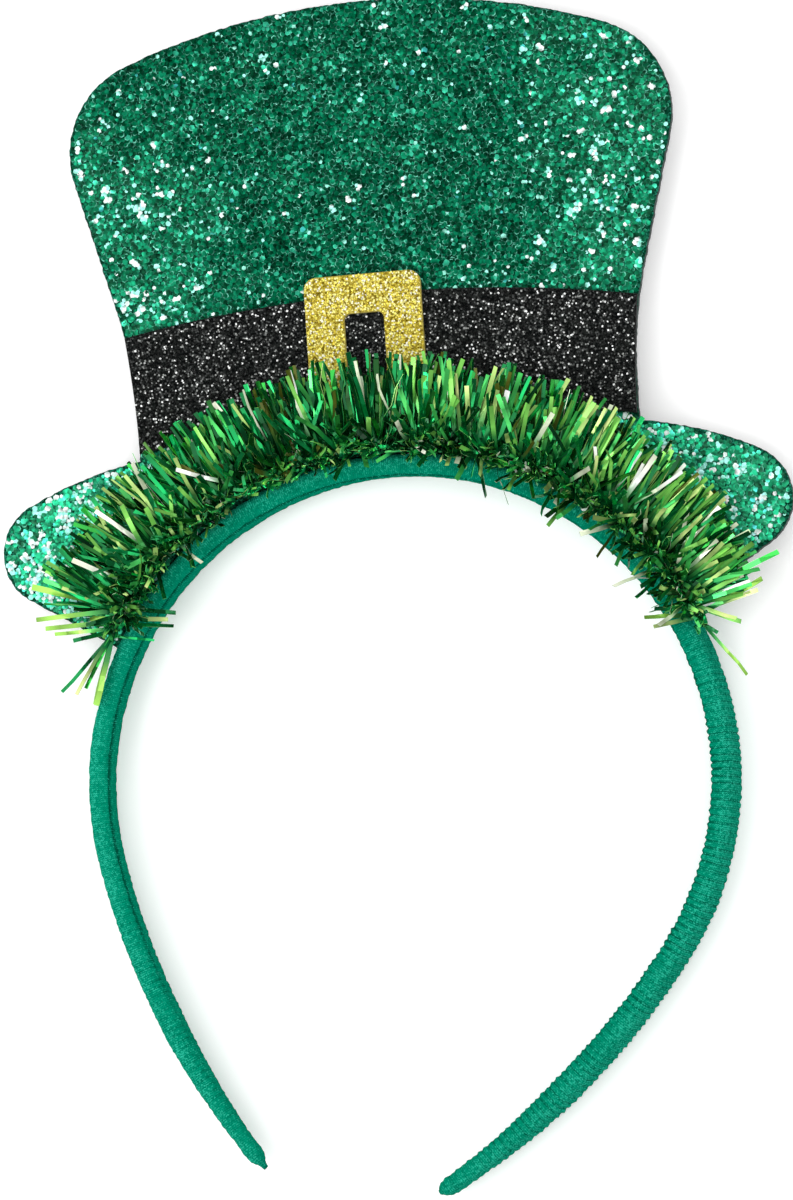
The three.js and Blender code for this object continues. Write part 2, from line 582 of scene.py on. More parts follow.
def show(name: str, mesh: bpy.types.Mesh, *materials: bpy.types.Material) -> bpy.types.Object:
    """Makes an object of a mesh, at the origin.

    Args:
        name: The piece's name.
        mesh: Its mesh, in place.
        materials: Its materials in slot order.

    Returns:
        The object.
    """
    piece = bpy.data.objects.new(name, mesh)
    bpy.context.scene.collection.objects.link(piece)
    for material in materials:
        mesh.materials.append(material)
    return piece


def to_mesh(name: str, shape: bmesh.types.BMesh) -> bpy.types.Mesh:
    """Writes a bmesh to a new mesh and frees it.

    Args:
        name: The mesh's name.
        shape: The bmesh.

    Returns:
        The mesh.
    """
    mesh = bpy.data.meshes.new(name)
    shape.to_mesh(mesh)
    shape.free()
    return mesh


def numbers(mesh: bpy.types.Mesh, key: str) -> np.ndarray:
    """Reads a vector of every vertex.

    Args:
        mesh: The mesh.
        key: What is read, such as co or normal.

    Returns:
        Rows of three.
    """
    values = np.empty(3 * len(mesh.vertices), np.float32)
    mesh.vertices.foreach_get(key, values)
    return values.reshape(-1, 3).astype(float)


def move_to(mesh: bpy.types.Mesh, places: np.ndarray) -> None:
    """Moves every vertex to a new place."""
    mesh.vertices.foreach_set("co", places.astype(np.float32).ravel())
    mesh.update()


def hold(mesh: bpy.types.Mesh, name: str, values: np.ndarray) -> None:
    """Writes one number for every vertex into a new attribute of the mesh."""
    attribute = mesh.attributes.new(name, "FLOAT", "POINT")
    attribute.data.foreach_set("value", values.astype(np.float32))


def smooth(share: np.ndarray) -> np.ndarray:
    """Smooth step from 0 to 1."""
    share = np.clip(share, 0, 1)
    return share * share * (3 - 2 * share)


def ramp(values: np.ndarray, start: float | np.ndarray, span: float) -> np.ndarray:
    """Smooth step from 0 at a start to 1 a span further on."""
    return smooth((values - start) / span)


def unit(vectors: np.ndarray) -> np.ndarray:
    """Vectors brought to length 1."""
    return vectors / np.linalg.norm(vectors, axis=-1, keepdims=True)


def wander(points: np.ndarray, pitch: float, drift: Drift) -> np.ndarray:
    """Smooth noise from about -1 to 1.

    Args:
        points: Rows of one to three coordinates.
        pitch: Size of its spots.
        drift: Which field of noise it is.

    Returns:
        One number for each row.
    """
    full = np.zeros((len(points), 3))
    full[:, : points.shape[1]] = points / pitch
    full += drift.value * DRIFT_STEP
    return np.array([noise.noise(Vector(row)) for row in full])


def only(kind: type, geometry: Sequence[Any]) -> list[Any]:
    """The items of one kind among the geometry that a bmesh operator gives back."""
    return [item for item in geometry if isinstance(item, kind)]


def mirror(shape: bmesh.types.BMesh) -> None:
    """Adds a shape's mirror image across the plane x = 0, and merges the two where they meet.

    Args:
        shape: The bmesh.
    """
    everything = shape.verts[:] + shape.edges[:] + shape.faces[:]
    bmesh.ops.mirror(shape, geom=everything, matrix=Matrix.Identity(4), merge_dist=MERGE, axis="X")
    bmesh.ops.remove_doubles(shape, verts=shape.verts[:], dist=MERGE)


class Pen:
    """Draws a chain of edges on from its last vertex, the tip."""

    def __init__(self, start: Sequence[float], step: float = MM, axis: Sequence[float] = (0, 0, 1)) -> None:
        """Starts a bmesh with one vertex.

        Args:
            start: Its place, in two or three coordinates.
            step: How long edges are about, where no number of parts is given.
            axis: What arcs turn about.
        """
        self.shape = bmesh.new()
        self.step = step
        self.axis = axis
        self.tip = self.shape.verts.new(Vector(start).to_3d())

    def move(self, place: Vector) -> None:
        """Draws one edge to a place."""
        self.tip = bmesh.ops.extrude_vert_indiv(self.shape, verts=[self.tip])["verts"][0]
        self.tip.co = place

    def line(self, end: Sequence[float], parts: int = 0) -> None:
        """Draws straight to a point.

        Args:
            end: The point.
            parts: How many edges it takes, or 0 to go by the step.
        """
        start = self.tip.co.copy()
        goal = Vector(end).to_3d()
        parts = parts or max(1, round((goal - start).length / self.step))
        for index in range(1, parts + 1):
            self.move(start.lerp(goal, index / parts))

    def arc(self, centre: Sequence[float], turn: float, parts: int = 0) -> None:
        """Draws an arc about a centre, anticlockwise about the axis if the turn is positive.

        Args:
            centre: The arc's centre.
            turn: How far it goes round, in radians.
            parts: How many edges it takes, or 0 to go by the step.
        """
        middle = Vector(centre).to_3d()
        length = abs(turn) * (self.tip.co - middle).length
        parts = parts or max(2, round(length / self.step))
        spun = bmesh.ops.spin(
            self.shape, geom=[self.tip], cent=middle, axis=self.axis, angle=turn, steps=parts,
            use_duplicate=False,
        )
        self.tip = only(bmesh.types.BMVert, spun["geom_last"])[0]

    def curve(self, guide: Sequence[float], end: Sequence[float]) -> None:
        """Draws a quadratic curve to a point, pulled towards a guide point.

        Args:
            guide: The guide.
            end: Where it ends.
        """
        start = self.tip.co.copy()
        pull = Vector(guide).to_3d()
        goal = Vector(end).to_3d()
        parts = max(2, round((goal - start).length / self.step))
        for index in range(1, parts + 1):
            share = index / parts
            self.move(start.lerp(pull, share).lerp(pull.lerp(goal, share), share))

    def mirrored_face(self) -> bmesh.types.BMesh:
        """Mirrors what is drawn and fills the closed outline.

        Returns:
            A bmesh with one face that looks up.
        """
        mirror(self.shape)
        bmesh.ops.edgeloop_fill(self.shape, edges=self.shape.edges[:])
        bmesh.ops.recalc_face_normals(self.shape, faces=self.shape.faces[:])
        face = self.shape.faces[:][0]
        if face.normal.z < 0:
            bmesh.ops.reverse_faces(self.shape, faces=[face])
        return self.shape


class Region:
    """A flat area inside one closed line."""

    def __init__(self, shape: bmesh.types.BMesh) -> None:
        """Keeps the corners of a bmesh's one flat face in order."""
        self.corners = np.array([tuple(vert.co.xy) for vert in shape.faces[:][0].verts])

    def depth(self, points: np.ndarray) -> np.ndarray:
        """How far points lie inside the line, negative outside it.

        Args:
            points: Rows of two coordinates.

        Returns:
            One distance for each row.
        """
        nearest = np.full(len(points), np.inf)
        inside = np.zeros(len(points), bool)
        for start, end in zip(self.corners, np.roll(self.corners, -1, axis=0)):
            along = end - start
            offset = points - start
            share = np.clip(offset @ along / (along @ along), 0, 1)
            nearest = np.minimum(nearest, np.linalg.norm(offset - share[:, None] * along, axis=1))
            crosses = (start[1] > points[:, 1]) != (end[1] > points[:, 1])
            rise = along[1] if along[1] else 1.0
            inside ^= crosses & (points[:, 0] < start[0] + (points[:, 1] - start[1]) * along[0] / rise)
        return np.where(inside, nearest, -nearest)

    def lattice(self, pitch: float, jitter: float, rng: np.random.Generator) -> np.ndarray:
        """Points on a triangular lattice over the region's box, each moved at random.

        Args:
            pitch: Distance between neighbours.
            jitter: Farthest move, as a share of the pitch.
            rng: Source of random numbers.

        Returns:
            Rows of two coordinates.
        """
        low = self.corners.min(0)
        high = self.corners.max(0)
        rise = pitch * math.sqrt(0.75)
        rows = np.arange(low[1], high[1], rise)
        columns = np.arange(low[0], high[0], pitch)
        shift = (np.arange(len(rows)) % 2) * pitch / 2
        across = columns[None, :] + shift[:, None]
        points = np.stack([across, np.broadcast_to(rows[:, None], across.shape)], -1).reshape(-1, 2)
        return points + rng.uniform(-jitter, jitter, points.shape) * pitch


@dataclass(frozen=True)
class Tone:
    """One colour and the share of flakes or strips that have it."""

    colour: Colour
    share: float
    gloss: float = 0.5


@dataclass(frozen=True)
class Motif:
    """A small closed shape that is repeated many times."""

    corners: np.ndarray
    faces: tuple[tuple[int, ...], ...]
    places: np.ndarray

    @classmethod
    def plate(cls, flake: Flake, top: float) -> "Motif":
        """A thin plate with sloping sides, of radius 1 and height from -1 to 1.

        Args:
            flake: Its outline.
            top: The upper face's radius.

        Returns:
            The motif.
        """
        shape = bmesh.new()
        bmesh.ops.create_cone(
            shape, cap_ends=True, cap_tris=False, segments=flake.value, radius1=1.0, radius2=top, depth=2.0
        )
        return cls.read(shape)

    @classmethod
    def strip(cls, parts: int) -> "Motif":
        """A thin strip: x from 0 to 1 along it, y and z from -1 to 1.

        Args:
            parts: How many faces it has along each side.

        Returns:
            The motif.
        """
        shape = bmesh.new()
        bmesh.ops.create_cube(shape, size=2.0)
        long_edges = [edge for edge in shape.edges if abs(edge.verts[0].co.x - edge.verts[1].co.x) > 1]
        bmesh.ops.subdivide_edges(shape, edges=long_edges, cuts=parts - 1, use_grid_fill=True)
        bmesh.ops.translate(shape, verts=shape.verts[:], vec=(1, 0, 0))
        bmesh.ops.scale(shape, verts=shape.verts[:], vec=(0.5, 1, 1))
        return cls.read(shape)

    @classmethod
    def read(cls, shape: bmesh.types.BMesh) -> "Motif":
        """Reads a motif from a bmesh and frees it. Faces seen edge-on from above fill their whole cell.

        Args:
            shape: The bmesh.

        Returns:
            The motif.
        """
        shape.verts.index_update()
        shape.normal_update()
        corners = np.array([tuple(vert.co) for vert in shape.verts])
        span = corners.max(0) - corners.min(0)
        square = ((0.0, 0.0), (1.0, 0.0), (1.0, 1.0), (0.0, 1.0))
        faces = []
        places = []
        for face in shape.faces:
            faces.append(tuple(vert.index for vert in face.verts))
            flat = (corners[list(faces[-1])] - corners.min(0)) / span
            side = 0.5 * (face.normal.z < 0)
            if abs(face.normal.z) > LEVEL:
                places.extend((0.5 * row[1] + side, row[0]) for row in flat)
            else:
                places.extend((0.5 * u, v) for u, v in square)
        shape.free()
        return cls(corners, tuple(faces), np.array(places))

    def axes(self) -> tuple[np.ndarray, ...]:
        """The corners' x, y and z, ready to spread over copies and coordinates."""
        return tuple(self.corners[:, axis][None, :, None] for axis in range(3))

    def joined(self, name: str, points: np.ndarray, tints: np.ndarray, gloss: np.ndarray) -> bpy.types.Mesh:
        """One mesh of many copies, with a cell of the map for each.

        Args:
            name: The mesh's name.
            points: Places of each copy's corners, by copy and corner.
            tints: Linear colours, by copy and corner.
            gloss: A number for each copy and corner, or one for each copy in a column.

        Returns:
            The mesh.
        """
        copies, size = points.shape[:2]
        order = np.concatenate([np.array(face) for face in self.faces])
        starts = np.cumsum([0] + [len(face) for face in self.faces[:-1]])
        loops = len(order)
        mesh = bpy.data.meshes.new(name)
        mesh.vertices.add(copies * size)
        mesh.vertices.foreach_set("co", points.astype(np.float32).ravel())
        mesh.loops.add(copies * loops)
        mesh.loops.foreach_set("vertex_index", (np.arange(copies)[:, None] * size + order).ravel())
        mesh.polygons.add(copies * len(self.faces))
        mesh.polygons.foreach_set("loop_start", (np.arange(copies)[:, None] * loops + starts).ravel())
        mesh.update(calc_edges=True)
        mesh.shade_flat()
        side = math.ceil(math.sqrt(copies))
        cell = np.stack([np.arange(copies) % side, np.arange(copies) // side], -1)
        inside = CELL_MARGIN + (1 - 2 * CELL_MARGIN) * self.places
        spots = (cell[:, None, :] + inside[None, :, :]) / side
        mesh.uv_layers.new(name=BAKE_MAP).uv.foreach_set("vector", spots.astype(np.float32).ravel())
        full = np.ones((copies, size, 4), np.float32)
        full[:, :, :3] = np.clip(tints, 0, 1)
        mesh.attributes.new(TINT, "FLOAT_COLOR", "POINT").data.foreach_set("color", full.ravel())
        hold(mesh, GLOSS, np.broadcast_to(gloss, (copies, size)).ravel())
        return mesh


def pick(tones: Sequence[Tone], lift: np.ndarray, rng: np.random.Generator) -> tuple[np.ndarray, np.ndarray]:
    """Gives each of many flakes or strips one of several tones.

    Args:
        tones: The tones, from dark to pale.
        lift: From 0 to 1 for each flake, how far it is moved towards the pale end.
        rng: Source of random numbers.

    Returns:
        Their colours in rows and their gloss.
    """
    draw = rng.uniform(0, 1, len(lift))
    draw = draw + (1 - draw) * lift
    edges = np.cumsum([tone.share for tone in tones]) / sum(tone.share for tone in tones)
    chosen = np.minimum(np.searchsorted(edges, draw), len(tones) - 1)
    colours = np.array([tone.colour for tone in tones])[chosen]
    gloss = np.array([tone.gloss for tone in tones])[chosen]
    return colours * rng.uniform(*TONE_SPREAD, (len(lift), 1)), gloss


@dataclass(frozen=True)
class Glitter:
    """A layer of loose flakes on a flat face of the hat.

    Each flake has a painted highlight, a pale arc on its lower, outer ring, coloured rim_on_pale on flakes
    paler than pale_from. The arc is strongest on one side and falls to rim_floor elsewhere, and rim_power
    makes strong arcs rarer. Painted light also brightens one side of each face, by up to slant. Flakes paler
    than lone_from that stand alone are smaller, by lone_size.
    """

    flake: Flake
    radius: float
    pitch: float
    tilt: float
    tones: tuple[Tone, ...]
    inset: float
    seed: int
    # Colour of the painted highlight arc on each flake's lower ring
    rim: Colour
    jitter: float = 0.3
    sizes: Range = (0.70, 1.22)
    thickness: float = 0.07 * MM
    pile: float = 0.22 * MM
    top: float = 0.74
    rim_share: float = 0.5
    rim_power: float = 2.2
    rim_floor: float = 0.35
    rim_curl: float = 1.0
    # Colour of the painted highlight arc on pale flakes
    rim_on_pale: Colour = (0.30, 0.30, 0.30)
    pale_from: float = 0.3
    # Painted light: how much brighter one side of each face is painted
    slant: float = 0.3
    # Painted light: a faint pale lift where flakes are painted brighter
    painted_glow_haze: float = 0.0
    lone_size: float = 1.0
    lone_from: float = 0.2

    def spots(self, region: Region) -> np.ndarray:
        """Places for flakes over a region's box."""
        return region.lattice(self.pitch, self.jitter, np.random.default_rng(self.seed + 1))

    def mesh(
        self, name: str, spots: np.ndarray, height: float, lift: np.ndarray, gain: np.ndarray
    ) -> bpy.types.Mesh:
        """Lays one flake on each spot, turned, tilted and raised at random.

        Args:
            name: The mesh's name.
            spots: Rows of two coordinates in the hat's plane.
            height: Of the face that they lie on.
            lift: For each flake, how far its tone is moved to the pale end, for painted glints.
            gain: For each flake, how much brighter it is painted, as painted light.

        Returns:
            The mesh, in its place on the hat.
        """
        rng = np.random.default_rng(self.seed)
        count = len(spots)
        motif = Motif.plate(self.flake, self.top)
        lean = rng.normal(0, math.tan(self.tilt), (count, 2))
        normal = unit(np.column_stack([lean, np.ones(count)]))
        spin = rng.uniform(0, 2 * math.pi, count)
        heading = np.column_stack([np.cos(spin), np.sin(spin), np.zeros(count)])
        side = unit(np.cross(normal, heading))
        front = np.cross(side, normal)
        colours, gloss = pick(self.tones, lift, rng)
        lone = (colours.min(1) > self.lone_from) & (lift < 0.5)
        radius = self.radius * rng.uniform(*self.sizes, count) * np.where(lone, self.lone_size, 1)
        rise = height + self.thickness + rng.uniform(0, self.pile, count)
        rise = rise + radius * np.linalg.norm(lean, axis=1) * 0.5
        centre = np.column_stack([spots, rise])
        x, y, z = motif.axes()
        points = centre[:, None, :] + radius[:, None, None] * (x * front[:, None] + y * side[:, None])
        points = points + z * normal[:, None] * (self.thickness / 2)
        tints = self.tints(motif, colours, gain, rng)
        mesh = motif.joined(name, points, tints, gloss[:, None])
        mesh.transform(HAT_PLACE)
        return mesh

    def tints(
        self, motif: Motif, colours: np.ndarray, gain: np.ndarray, rng: np.random.Generator
    ) -> np.ndarray:
        """Colours the flakes' corners with painted light: one side of each face brighter,
        and a painted highlight arc on its lower ring.

        Args:
            motif: One flake.
            colours: Their own colours, in rows.
            gain: For each flake, how much brighter it is painted, as painted light.
            rng: Source of random numbers.

        Returns:
            Linear colours, by flake and corner.
        """
        count = len(colours)
        # Painted light: flakes painted brighter by the gain also get a faint pale lift
        colours = colours * gain[:, None] + self.painted_glow_haze * np.maximum(gain - 1, 0)[:, None]
        colours = colours / np.maximum(1, colours.max(1))[:, None]
        bearing = np.arctan2(motif.corners[:, 1], motif.corners[:, 0])
        # A random direction for each flake's painted light and painted highlight arc
        glance = rng.uniform(0, 2 * math.pi, (count, 1))
        facing = np.cos(bearing - glance)
        curl = self.rim_floor + (1 - self.rim_floor) * np.maximum(facing, 0) ** self.rim_curl
        lit = curl * (motif.corners[:, 2] < 0)
        share = (self.rim_share * rng.uniform(0, 1, (count, 1)) ** self.rim_power * lit)[:, :, None]
        slant = 1 + self.slant * rng.uniform(0, 1, (count, 1)) * np.cos(bearing + glance)
        pale = (colours.min(1) > self.pale_from)[:, None, None]
        rim = np.where(pale, self.rim_on_pale, self.rim)
        return colours[:, None, :] * slant[:, :, None] * (1 - share) + rim * share


@dataclass(frozen=True)
class BandPlaces:
    """Where points lie on the band: length from its top, offset outwards, and its middle line there."""

    length: np.ndarray
    offset: np.ndarray
    middle: np.ndarray
    outward: np.ndarray


@dataclass(frozen=True)
class Seam:
    """The sleeve's seam, a groove on its inner front corner that fades out down the legs."""

    depth: float = 0.70 * MM
    half: float = 0.50 * MM
    shade_half: float = 0.60 * MM
    place: float = 0.22
    right_share: float = 0.8
    fade_from: float = 0.62
    fade_span: float = 0.25

    def fade(self, length: np.ndarray, right: np.ndarray, reach: float) -> np.ndarray:
        """How much of the seam shows at lengths from the top, where a tip is at the reach."""
        loss = ramp(length, self.fade_from * reach, self.fade_span * reach)
        return np.where(right, self.right_share, 1.0) * (1 - loss)


@dataclass(frozen=True)
class Ribs:
    """Cross ribs of the sleeve, strongest down the right leg. Places are shares of the way to a tip."""

    pitch: float = 1.55 * MM
    depth: float = 0.24 * MM
    shift: float = 2.2
    shift_pitch: float = 9 * MM
    left_from: float = 0.52
    right_from: float = 0.24
    onset: float = 0.2
    left_share: float = 0.35
    tip_from: float = 0.93
    tip_span: float = 0.05
    tip_loss: float = 0.75
    evenness: float = 0.75
    patch_share: float = 0.35
    patch: float = 6 * MM

    def wave(self, run: np.ndarray) -> np.ndarray:
        """The ribs' rise and fall, at lengths along the band that are negative on the left."""
        shift = wander(np.column_stack([run, np.zeros_like(run)]), self.shift_pitch, Drift.RIB_SHIFT)
        return np.sin(2 * math.pi * run / self.pitch + self.shift * shift)

    def strength(self, run: np.ndarray, around: np.ndarray, reach: float) -> np.ndarray:
        """How strongly the ribs show.

        Args:
            run: Lengths along the band, negative on the left.
            around: Lengths around the section.
            reach: Length from the top to a tip.

        Returns:
            One number for each place.
        """
        length = np.abs(run)
        right = run > 0
        start = np.where(right, self.right_from, self.left_from) * reach
        strength = np.where(right, 1.0, self.left_share) * ramp(length, start, self.onset * reach)
        strength = strength * (1 - self.tip_loss * ramp(length, self.tip_from * reach, self.tip_span * reach))
        patches = wander(np.column_stack([run, around]), self.patch, Drift.RIB_STRENGTH)
        return strength * (self.evenness + self.patch_share * patches)


@dataclass
class Headband:
    """A knitted sleeve over a sprung band: a hoop and two legs with rounded tips."""

    half_turn: float = math.radians(113.7)
    leg_radius: float = 170 * MM
    leg_turn: float = math.radians(24.4)
    corner: float = 1.9 * MM
    side_parts: int = 14
    edge_parts: int = 3
    seam_parts: int = 14
    round_parts: int = 8
    tip_thickness: float = 3.3 * MM
    tip_width: float = 6.8 * MM
    tip_taper: float = 40 * MM
    tip_round: float = 3 * MM
    tip_blunt: float = 0.05
    nub: float = 1.1 * MM
    nub_neck: float = 0.5 * MM
    station: float = 0.5 * MM
    tip_station: float = 0.2 * MM
    front_from: float = 0.55
    front_span: float = 0.3
    outer_from: float = -1.6 * MM
    outer_span: float = 3.0 * MM
    flush: float = 0.75
    rest_edge: float = 1.2 * MM
    swell_pitch: float = 7 * MM
    swell_depth: float = 0.10 * MM
    swell_fleck: float = 0.2
    rough_pitch: float = 1.0 * MM
    rough_depth: float = 0.22 * MM
    # Painted shade that the knit reads: in the seam groove, and a dark line in each rib's trough
    seam_shade: float = 0.75
    rib_shade: float = 0.8
    rib_line: float = -0.1
    seam: Seam = Seam()
    ribs: Ribs = Ribs()
    finish: KnitFinish = KnitFinish()

    @property
    def hoop_length(self) -> float:
        """Length of the back edge's middle line from the top to a leg."""
        return HOOP_RADIUS * self.half_turn

    @property
    def half_length(self) -> float:
        """Length from the top to a tip."""
        return self.hoop_length + self.leg_radius * self.leg_turn

    def leg_centre(self) -> Vector:
        """Centre of the right leg's arc."""
        reach = HOOP_RADIUS - self.leg_radius
        return Vector((reach * math.sin(self.half_turn), reach * math.cos(self.half_turn) - HOOP_RADIUS, 0))

    def section(self) -> bmesh.types.BMesh:
        """Draws the sleeve's section across the top of the hoop and numbers it by the length around it.

        Returns:
            A bmesh of the closed section.
        """
        half = BAND_THICKNESS / 2 - self.corner
        low, high = self.corner, BAND_WIDTH - self.corner
        pen = Pen((0, -half - self.corner, low), axis=(1, 0, 0))
        sides = (
            ((0, -half - self.corner, high), self.side_parts, (0, -half, high), self.seam_parts),
            ((0, half, BAND_WIDTH), self.edge_parts, (0, half, high), self.round_parts),
            ((0, half + self.corner, low), self.side_parts, (0, half, low), self.round_parts),
            ((0, -half, 0), self.edge_parts, (0, -half, low), self.round_parts),
        )
        for end, parts, centre, corner_parts in sides:
            pen.line(end, parts)
            pen.arc(centre, -math.pi / 2, corner_parts)
        shape = pen.shape
        around = shape.verts.layers.float.new(AROUND)
        shape.verts.ensure_lookup_table()
        length = 0.0
        previous = shape.verts[0].co.copy()
        for vert in shape.verts:
            length += (vert.co - previous).length
            previous = vert.co.copy()
            vert[around] = length
        bmesh.ops.remove_doubles(shape, verts=shape.verts[:], dist=MERGE)
        for vert in shape.verts:
            vert.co.y -= vert.co.z * BAND_FLARE
        return shape

    def sweep(self) -> bmesh.types.BMesh:
        """Spins the section round half the hoop and down one leg, closes its tip and mirrors it.

        Returns:
            The plain sleeve.
        """
        shape = self.section()
        geometry = shape.verts[:] + shape.edges[:]
        fine = 2 * self.tip_round / self.leg_radius
        runs = (
            (Vector((0, -HOOP_RADIUS, 0)), HOOP_RADIUS, self.half_turn, self.station),
            (self.leg_centre(), self.leg_radius, self.leg_turn - fine, self.station),
            (self.leg_centre(), self.leg_radius, fine, self.tip_station),
        )
        for centre, radius, turn, station in runs:
            steps = round(turn * radius / station)
            spun = bmesh.ops.spin(shape, geom=geometry, cent=centre, axis=(0, 0, 1), angle=-turn, steps=steps)
            geometry = spun["geom_last"]
        bmesh.ops.edgeloop_fill(shape, edges=only(bmesh.types.BMEdge, geometry))
        mirror(shape)
        bmesh.ops.recalc_face_normals(shape, faces=shape.faces[:])
        return shape

    def along(self, places: np.ndarray) -> BandPlaces:
        """Reads where points lie on the band.

        Args:
            places: Rows of three coordinates.

        Returns:
            Their places on the band, with the left half read as the right.
        """
        flat = np.column_stack([np.abs(places[:, 0]), places[:, 1]])
        hoop = np.array([0, -HOOP_RADIUS])
        leg = np.array(self.leg_centre().xy)
        on_hoop = np.arctan2(*(flat - hoop).T)
        past = on_hoop > self.half_turn
        centre = np.where(past[:, None], leg, hoop)
        radius = np.where(past, self.leg_radius, HOOP_RADIUS)
        spoke = flat - centre
        angle = np.arctan2(*spoke.T)
        on_leg = self.hoop_length + (angle - self.half_turn) * self.leg_radius
        length = np.where(past, on_leg, angle * HOOP_RADIUS)
        outward = np.column_stack([np.sin(angle), np.cos(angle)])
        offset = np.linalg.norm(spoke, axis=1) - radius
        return BandPlaces(length, offset, centre + radius[:, None] * outward, outward)

    def taper(self, places: np.ndarray) -> np.ndarray:
        """Narrows the legs towards their tips, rounds the tips off and pulls out the left tip's sewn nub.

        Args:
            places: Rows of three coordinates on the plain sleeve.

        Returns:
            The new places.
        """
        spots = self.along(places)
        to_tip = self.half_length - spots.length
        full = smooth(to_tip / self.tip_taper)
        blunt = np.clip(to_tip / self.tip_round, self.tip_blunt, 1)
        nose = np.sqrt(1 - (1 - blunt) ** 2)
        thin = self.tip_thickness / BAND_THICKNESS
        narrow = self.tip_width / BAND_WIDTH
        height = places[:, 2]
        thick = (spots.offset + height * BAND_FLARE) * nose * (thin + (1 - thin) * full)
        height = BAND_WIDTH / 2 + (height - BAND_WIDTH / 2) * nose * (narrow + (1 - narrow) * full)
        moved = spots.middle + spots.outward * (thick - height * BAND_FLARE)[:, None]
        left = places[:, 0] < 0
        pull = self.nub * left * smooth(1 - to_tip / self.nub_neck)
        onward = np.column_stack([spots.outward[:, 1], -spots.outward[:, 0]])
        moved = moved + onward * pull[:, None]
        side = np.where(left, -1.0, 1.0)
        return np.column_stack([moved[:, 0] * side, moved[:, 1], height])

    def relief(self, mesh: bpy.types.Mesh) -> np.ndarray:
        """Works out the seam groove, the cross ribs and soft unevenness, and writes the knit's numbers.

        Args:
            mesh: The tapered sleeve, with its length around each section.

        Returns:
            How far each vertex stands out.
        """
        places = numbers(mesh, "co")
        around = np.empty(len(places), np.float32)
        mesh.attributes[AROUND].data.foreach_get("value", around)
        around = around.astype(float)
        spots = self.along(places)
        right = places[:, 0] > 0
        run = np.where(right, spots.length, -spots.length)
        height = places[:, 2]
        front = ramp(height, self.front_from * BAND_WIDTH, self.front_span * BAND_WIDTH)
        outer = ramp(spots.offset + height * BAND_FLARE, self.outer_from, self.outer_span)
        seam_place = BAND_WIDTH - 2 * self.corner + self.seam.place * self.corner * math.pi / 2
        fade = self.seam.fade(spots.length, right, self.half_length)
        groove = np.exp(-((around - seam_place) / self.seam.half) ** 2) * fade
        shade = np.exp(-((around - seam_place) / self.seam.shade_half) ** 2) * fade
        wave = self.ribs.wave(run)
        rib = self.ribs.strength(run, around, self.half_length)
        rib = rib * (self.flush + (1 - self.flush) * (1 - outer * front))
        line = smooth(self.rib_line - wave)
        swell = wander(places, self.swell_pitch, Drift.SWELL)
        rough = wander(places, self.rough_pitch, Drift.ROUGH)
        hold(mesh, ALONG, run)
        hold(mesh, FLECK, np.clip(0.5 + 0.5 * outer + self.swell_fleck * swell, 0, 1))
        # Painted shade for the knit: the seam groove and a dark line in each rib's trough
        hold(mesh, HOLLOW_SHADE, np.clip(self.seam_shade * shade + self.rib_shade * rib * line, 0, 1))
        flat = smooth(height / self.rest_edge)
        relief = -self.seam.depth * groove + self.ribs.depth * rib * wave
        return relief + flat * (self.swell_depth * swell + self.rough_depth * rough)

    def build(self) -> Pieces:
        """Builds the sleeve.

        Returns:
            The one piece.
        """
        mesh = to_mesh("headband_sleeve", self.sweep())
        mesh.shade_smooth()
        places = self.taper(numbers(mesh, "co"))
        move_to(mesh, places)
        places = places + numbers(mesh, "normal") * self.relief(mesh)[:, None]
        places[:, 2] = np.maximum(places[:, 2], 0.0)
        move_to(mesh, places)
        piece = show("headband_sleeve", mesh, self.finish.material())
        return [hand_over(piece, Slot.KNIT, "headband")]


@dataclass
class GlitterPlate:
    """A flat piece of the hat: a plate with glitter on its face, and felt at its cut edge and back.

    Back and front are heights over the surface that the headband lies on, and soft is the rounding of the
    front rim.
    """

    slot: Slot
    back: float
    front: float
    soft: float
    ground: GroundFinish
    edge: FeltFinish
    felt: FeltFinish
    flakes: GlitterFinish
    glitter: Glitter

    def thicken(self, shape: bmesh.types.BMesh) -> None:
        """Makes a plate of a flat face and rounds its front rim.

        Args:
            shape: A bmesh with one face or a ring of faces at height 0, looking up.
        """
        bmesh.ops.translate(shape, verts=shape.verts[:], vec=(0, 0, self.back))
        made = bmesh.ops.extrude_face_region(shape, geom=shape.faces[:], use_keep_orig=True)
        raised = only(bmesh.types.BMVert, made["geom"])
        bmesh.ops.translate(shape, verts=raised, vec=(0, 0, self.front - self.back))
        bmesh.ops.recalc_face_normals(shape, faces=shape.faces[:])
        middle = (self.back + self.front) / 2
        sharp = [edge for edge in shape.edges if edge.is_manifold and edge.calc_face_angle(0) > SHARP]
        rim = [edge for edge in sharp if min(vert.co.z for vert in edge.verts) > middle]
        bmesh.ops.bevel(
            shape, geom=rim, offset=self.soft, offset_type="OFFSET", segments=2, profile=0.5, affect="EDGES",
            material=-1,
        )

    def plate(self, name: str, node: str, shape: bmesh.types.BMesh) -> bpy.types.Object:
        """Thickens a flat shape, dresses its front, cut edge and back, and puts it on the hat.

        Args:
            name: The piece's name.
            node: The node that it replaces.
            shape: The flat shape in the hat's plane.

        Returns:
            The piece.
        """
        self.thicken(shape)
        for face in shape.faces:
            face.material_index = Side.of(face).value
        bmesh.ops.transform(shape, matrix=HAT_PLACE, verts=shape.verts[:])
        materials = [finish.material() for finish in (self.ground, self.edge, self.felt)]
        return hand_over(show(name, to_mesh(name, shape), *materials), self.slot, node)

    def layer(self, name: str, spots: np.ndarray) -> bpy.types.Object:
        """Lays evenly lit glitter on the plate's face.

        Args:
            name: The piece's name.
            spots: Where its flakes lie.

        Returns:
            The piece.
        """
        mesh = self.glitter.mesh(name, spots, self.front, np.zeros(len(spots)), np.ones(len(spots)))
        return hand_over(show(name, mesh, self.flakes.material()), self.slot)


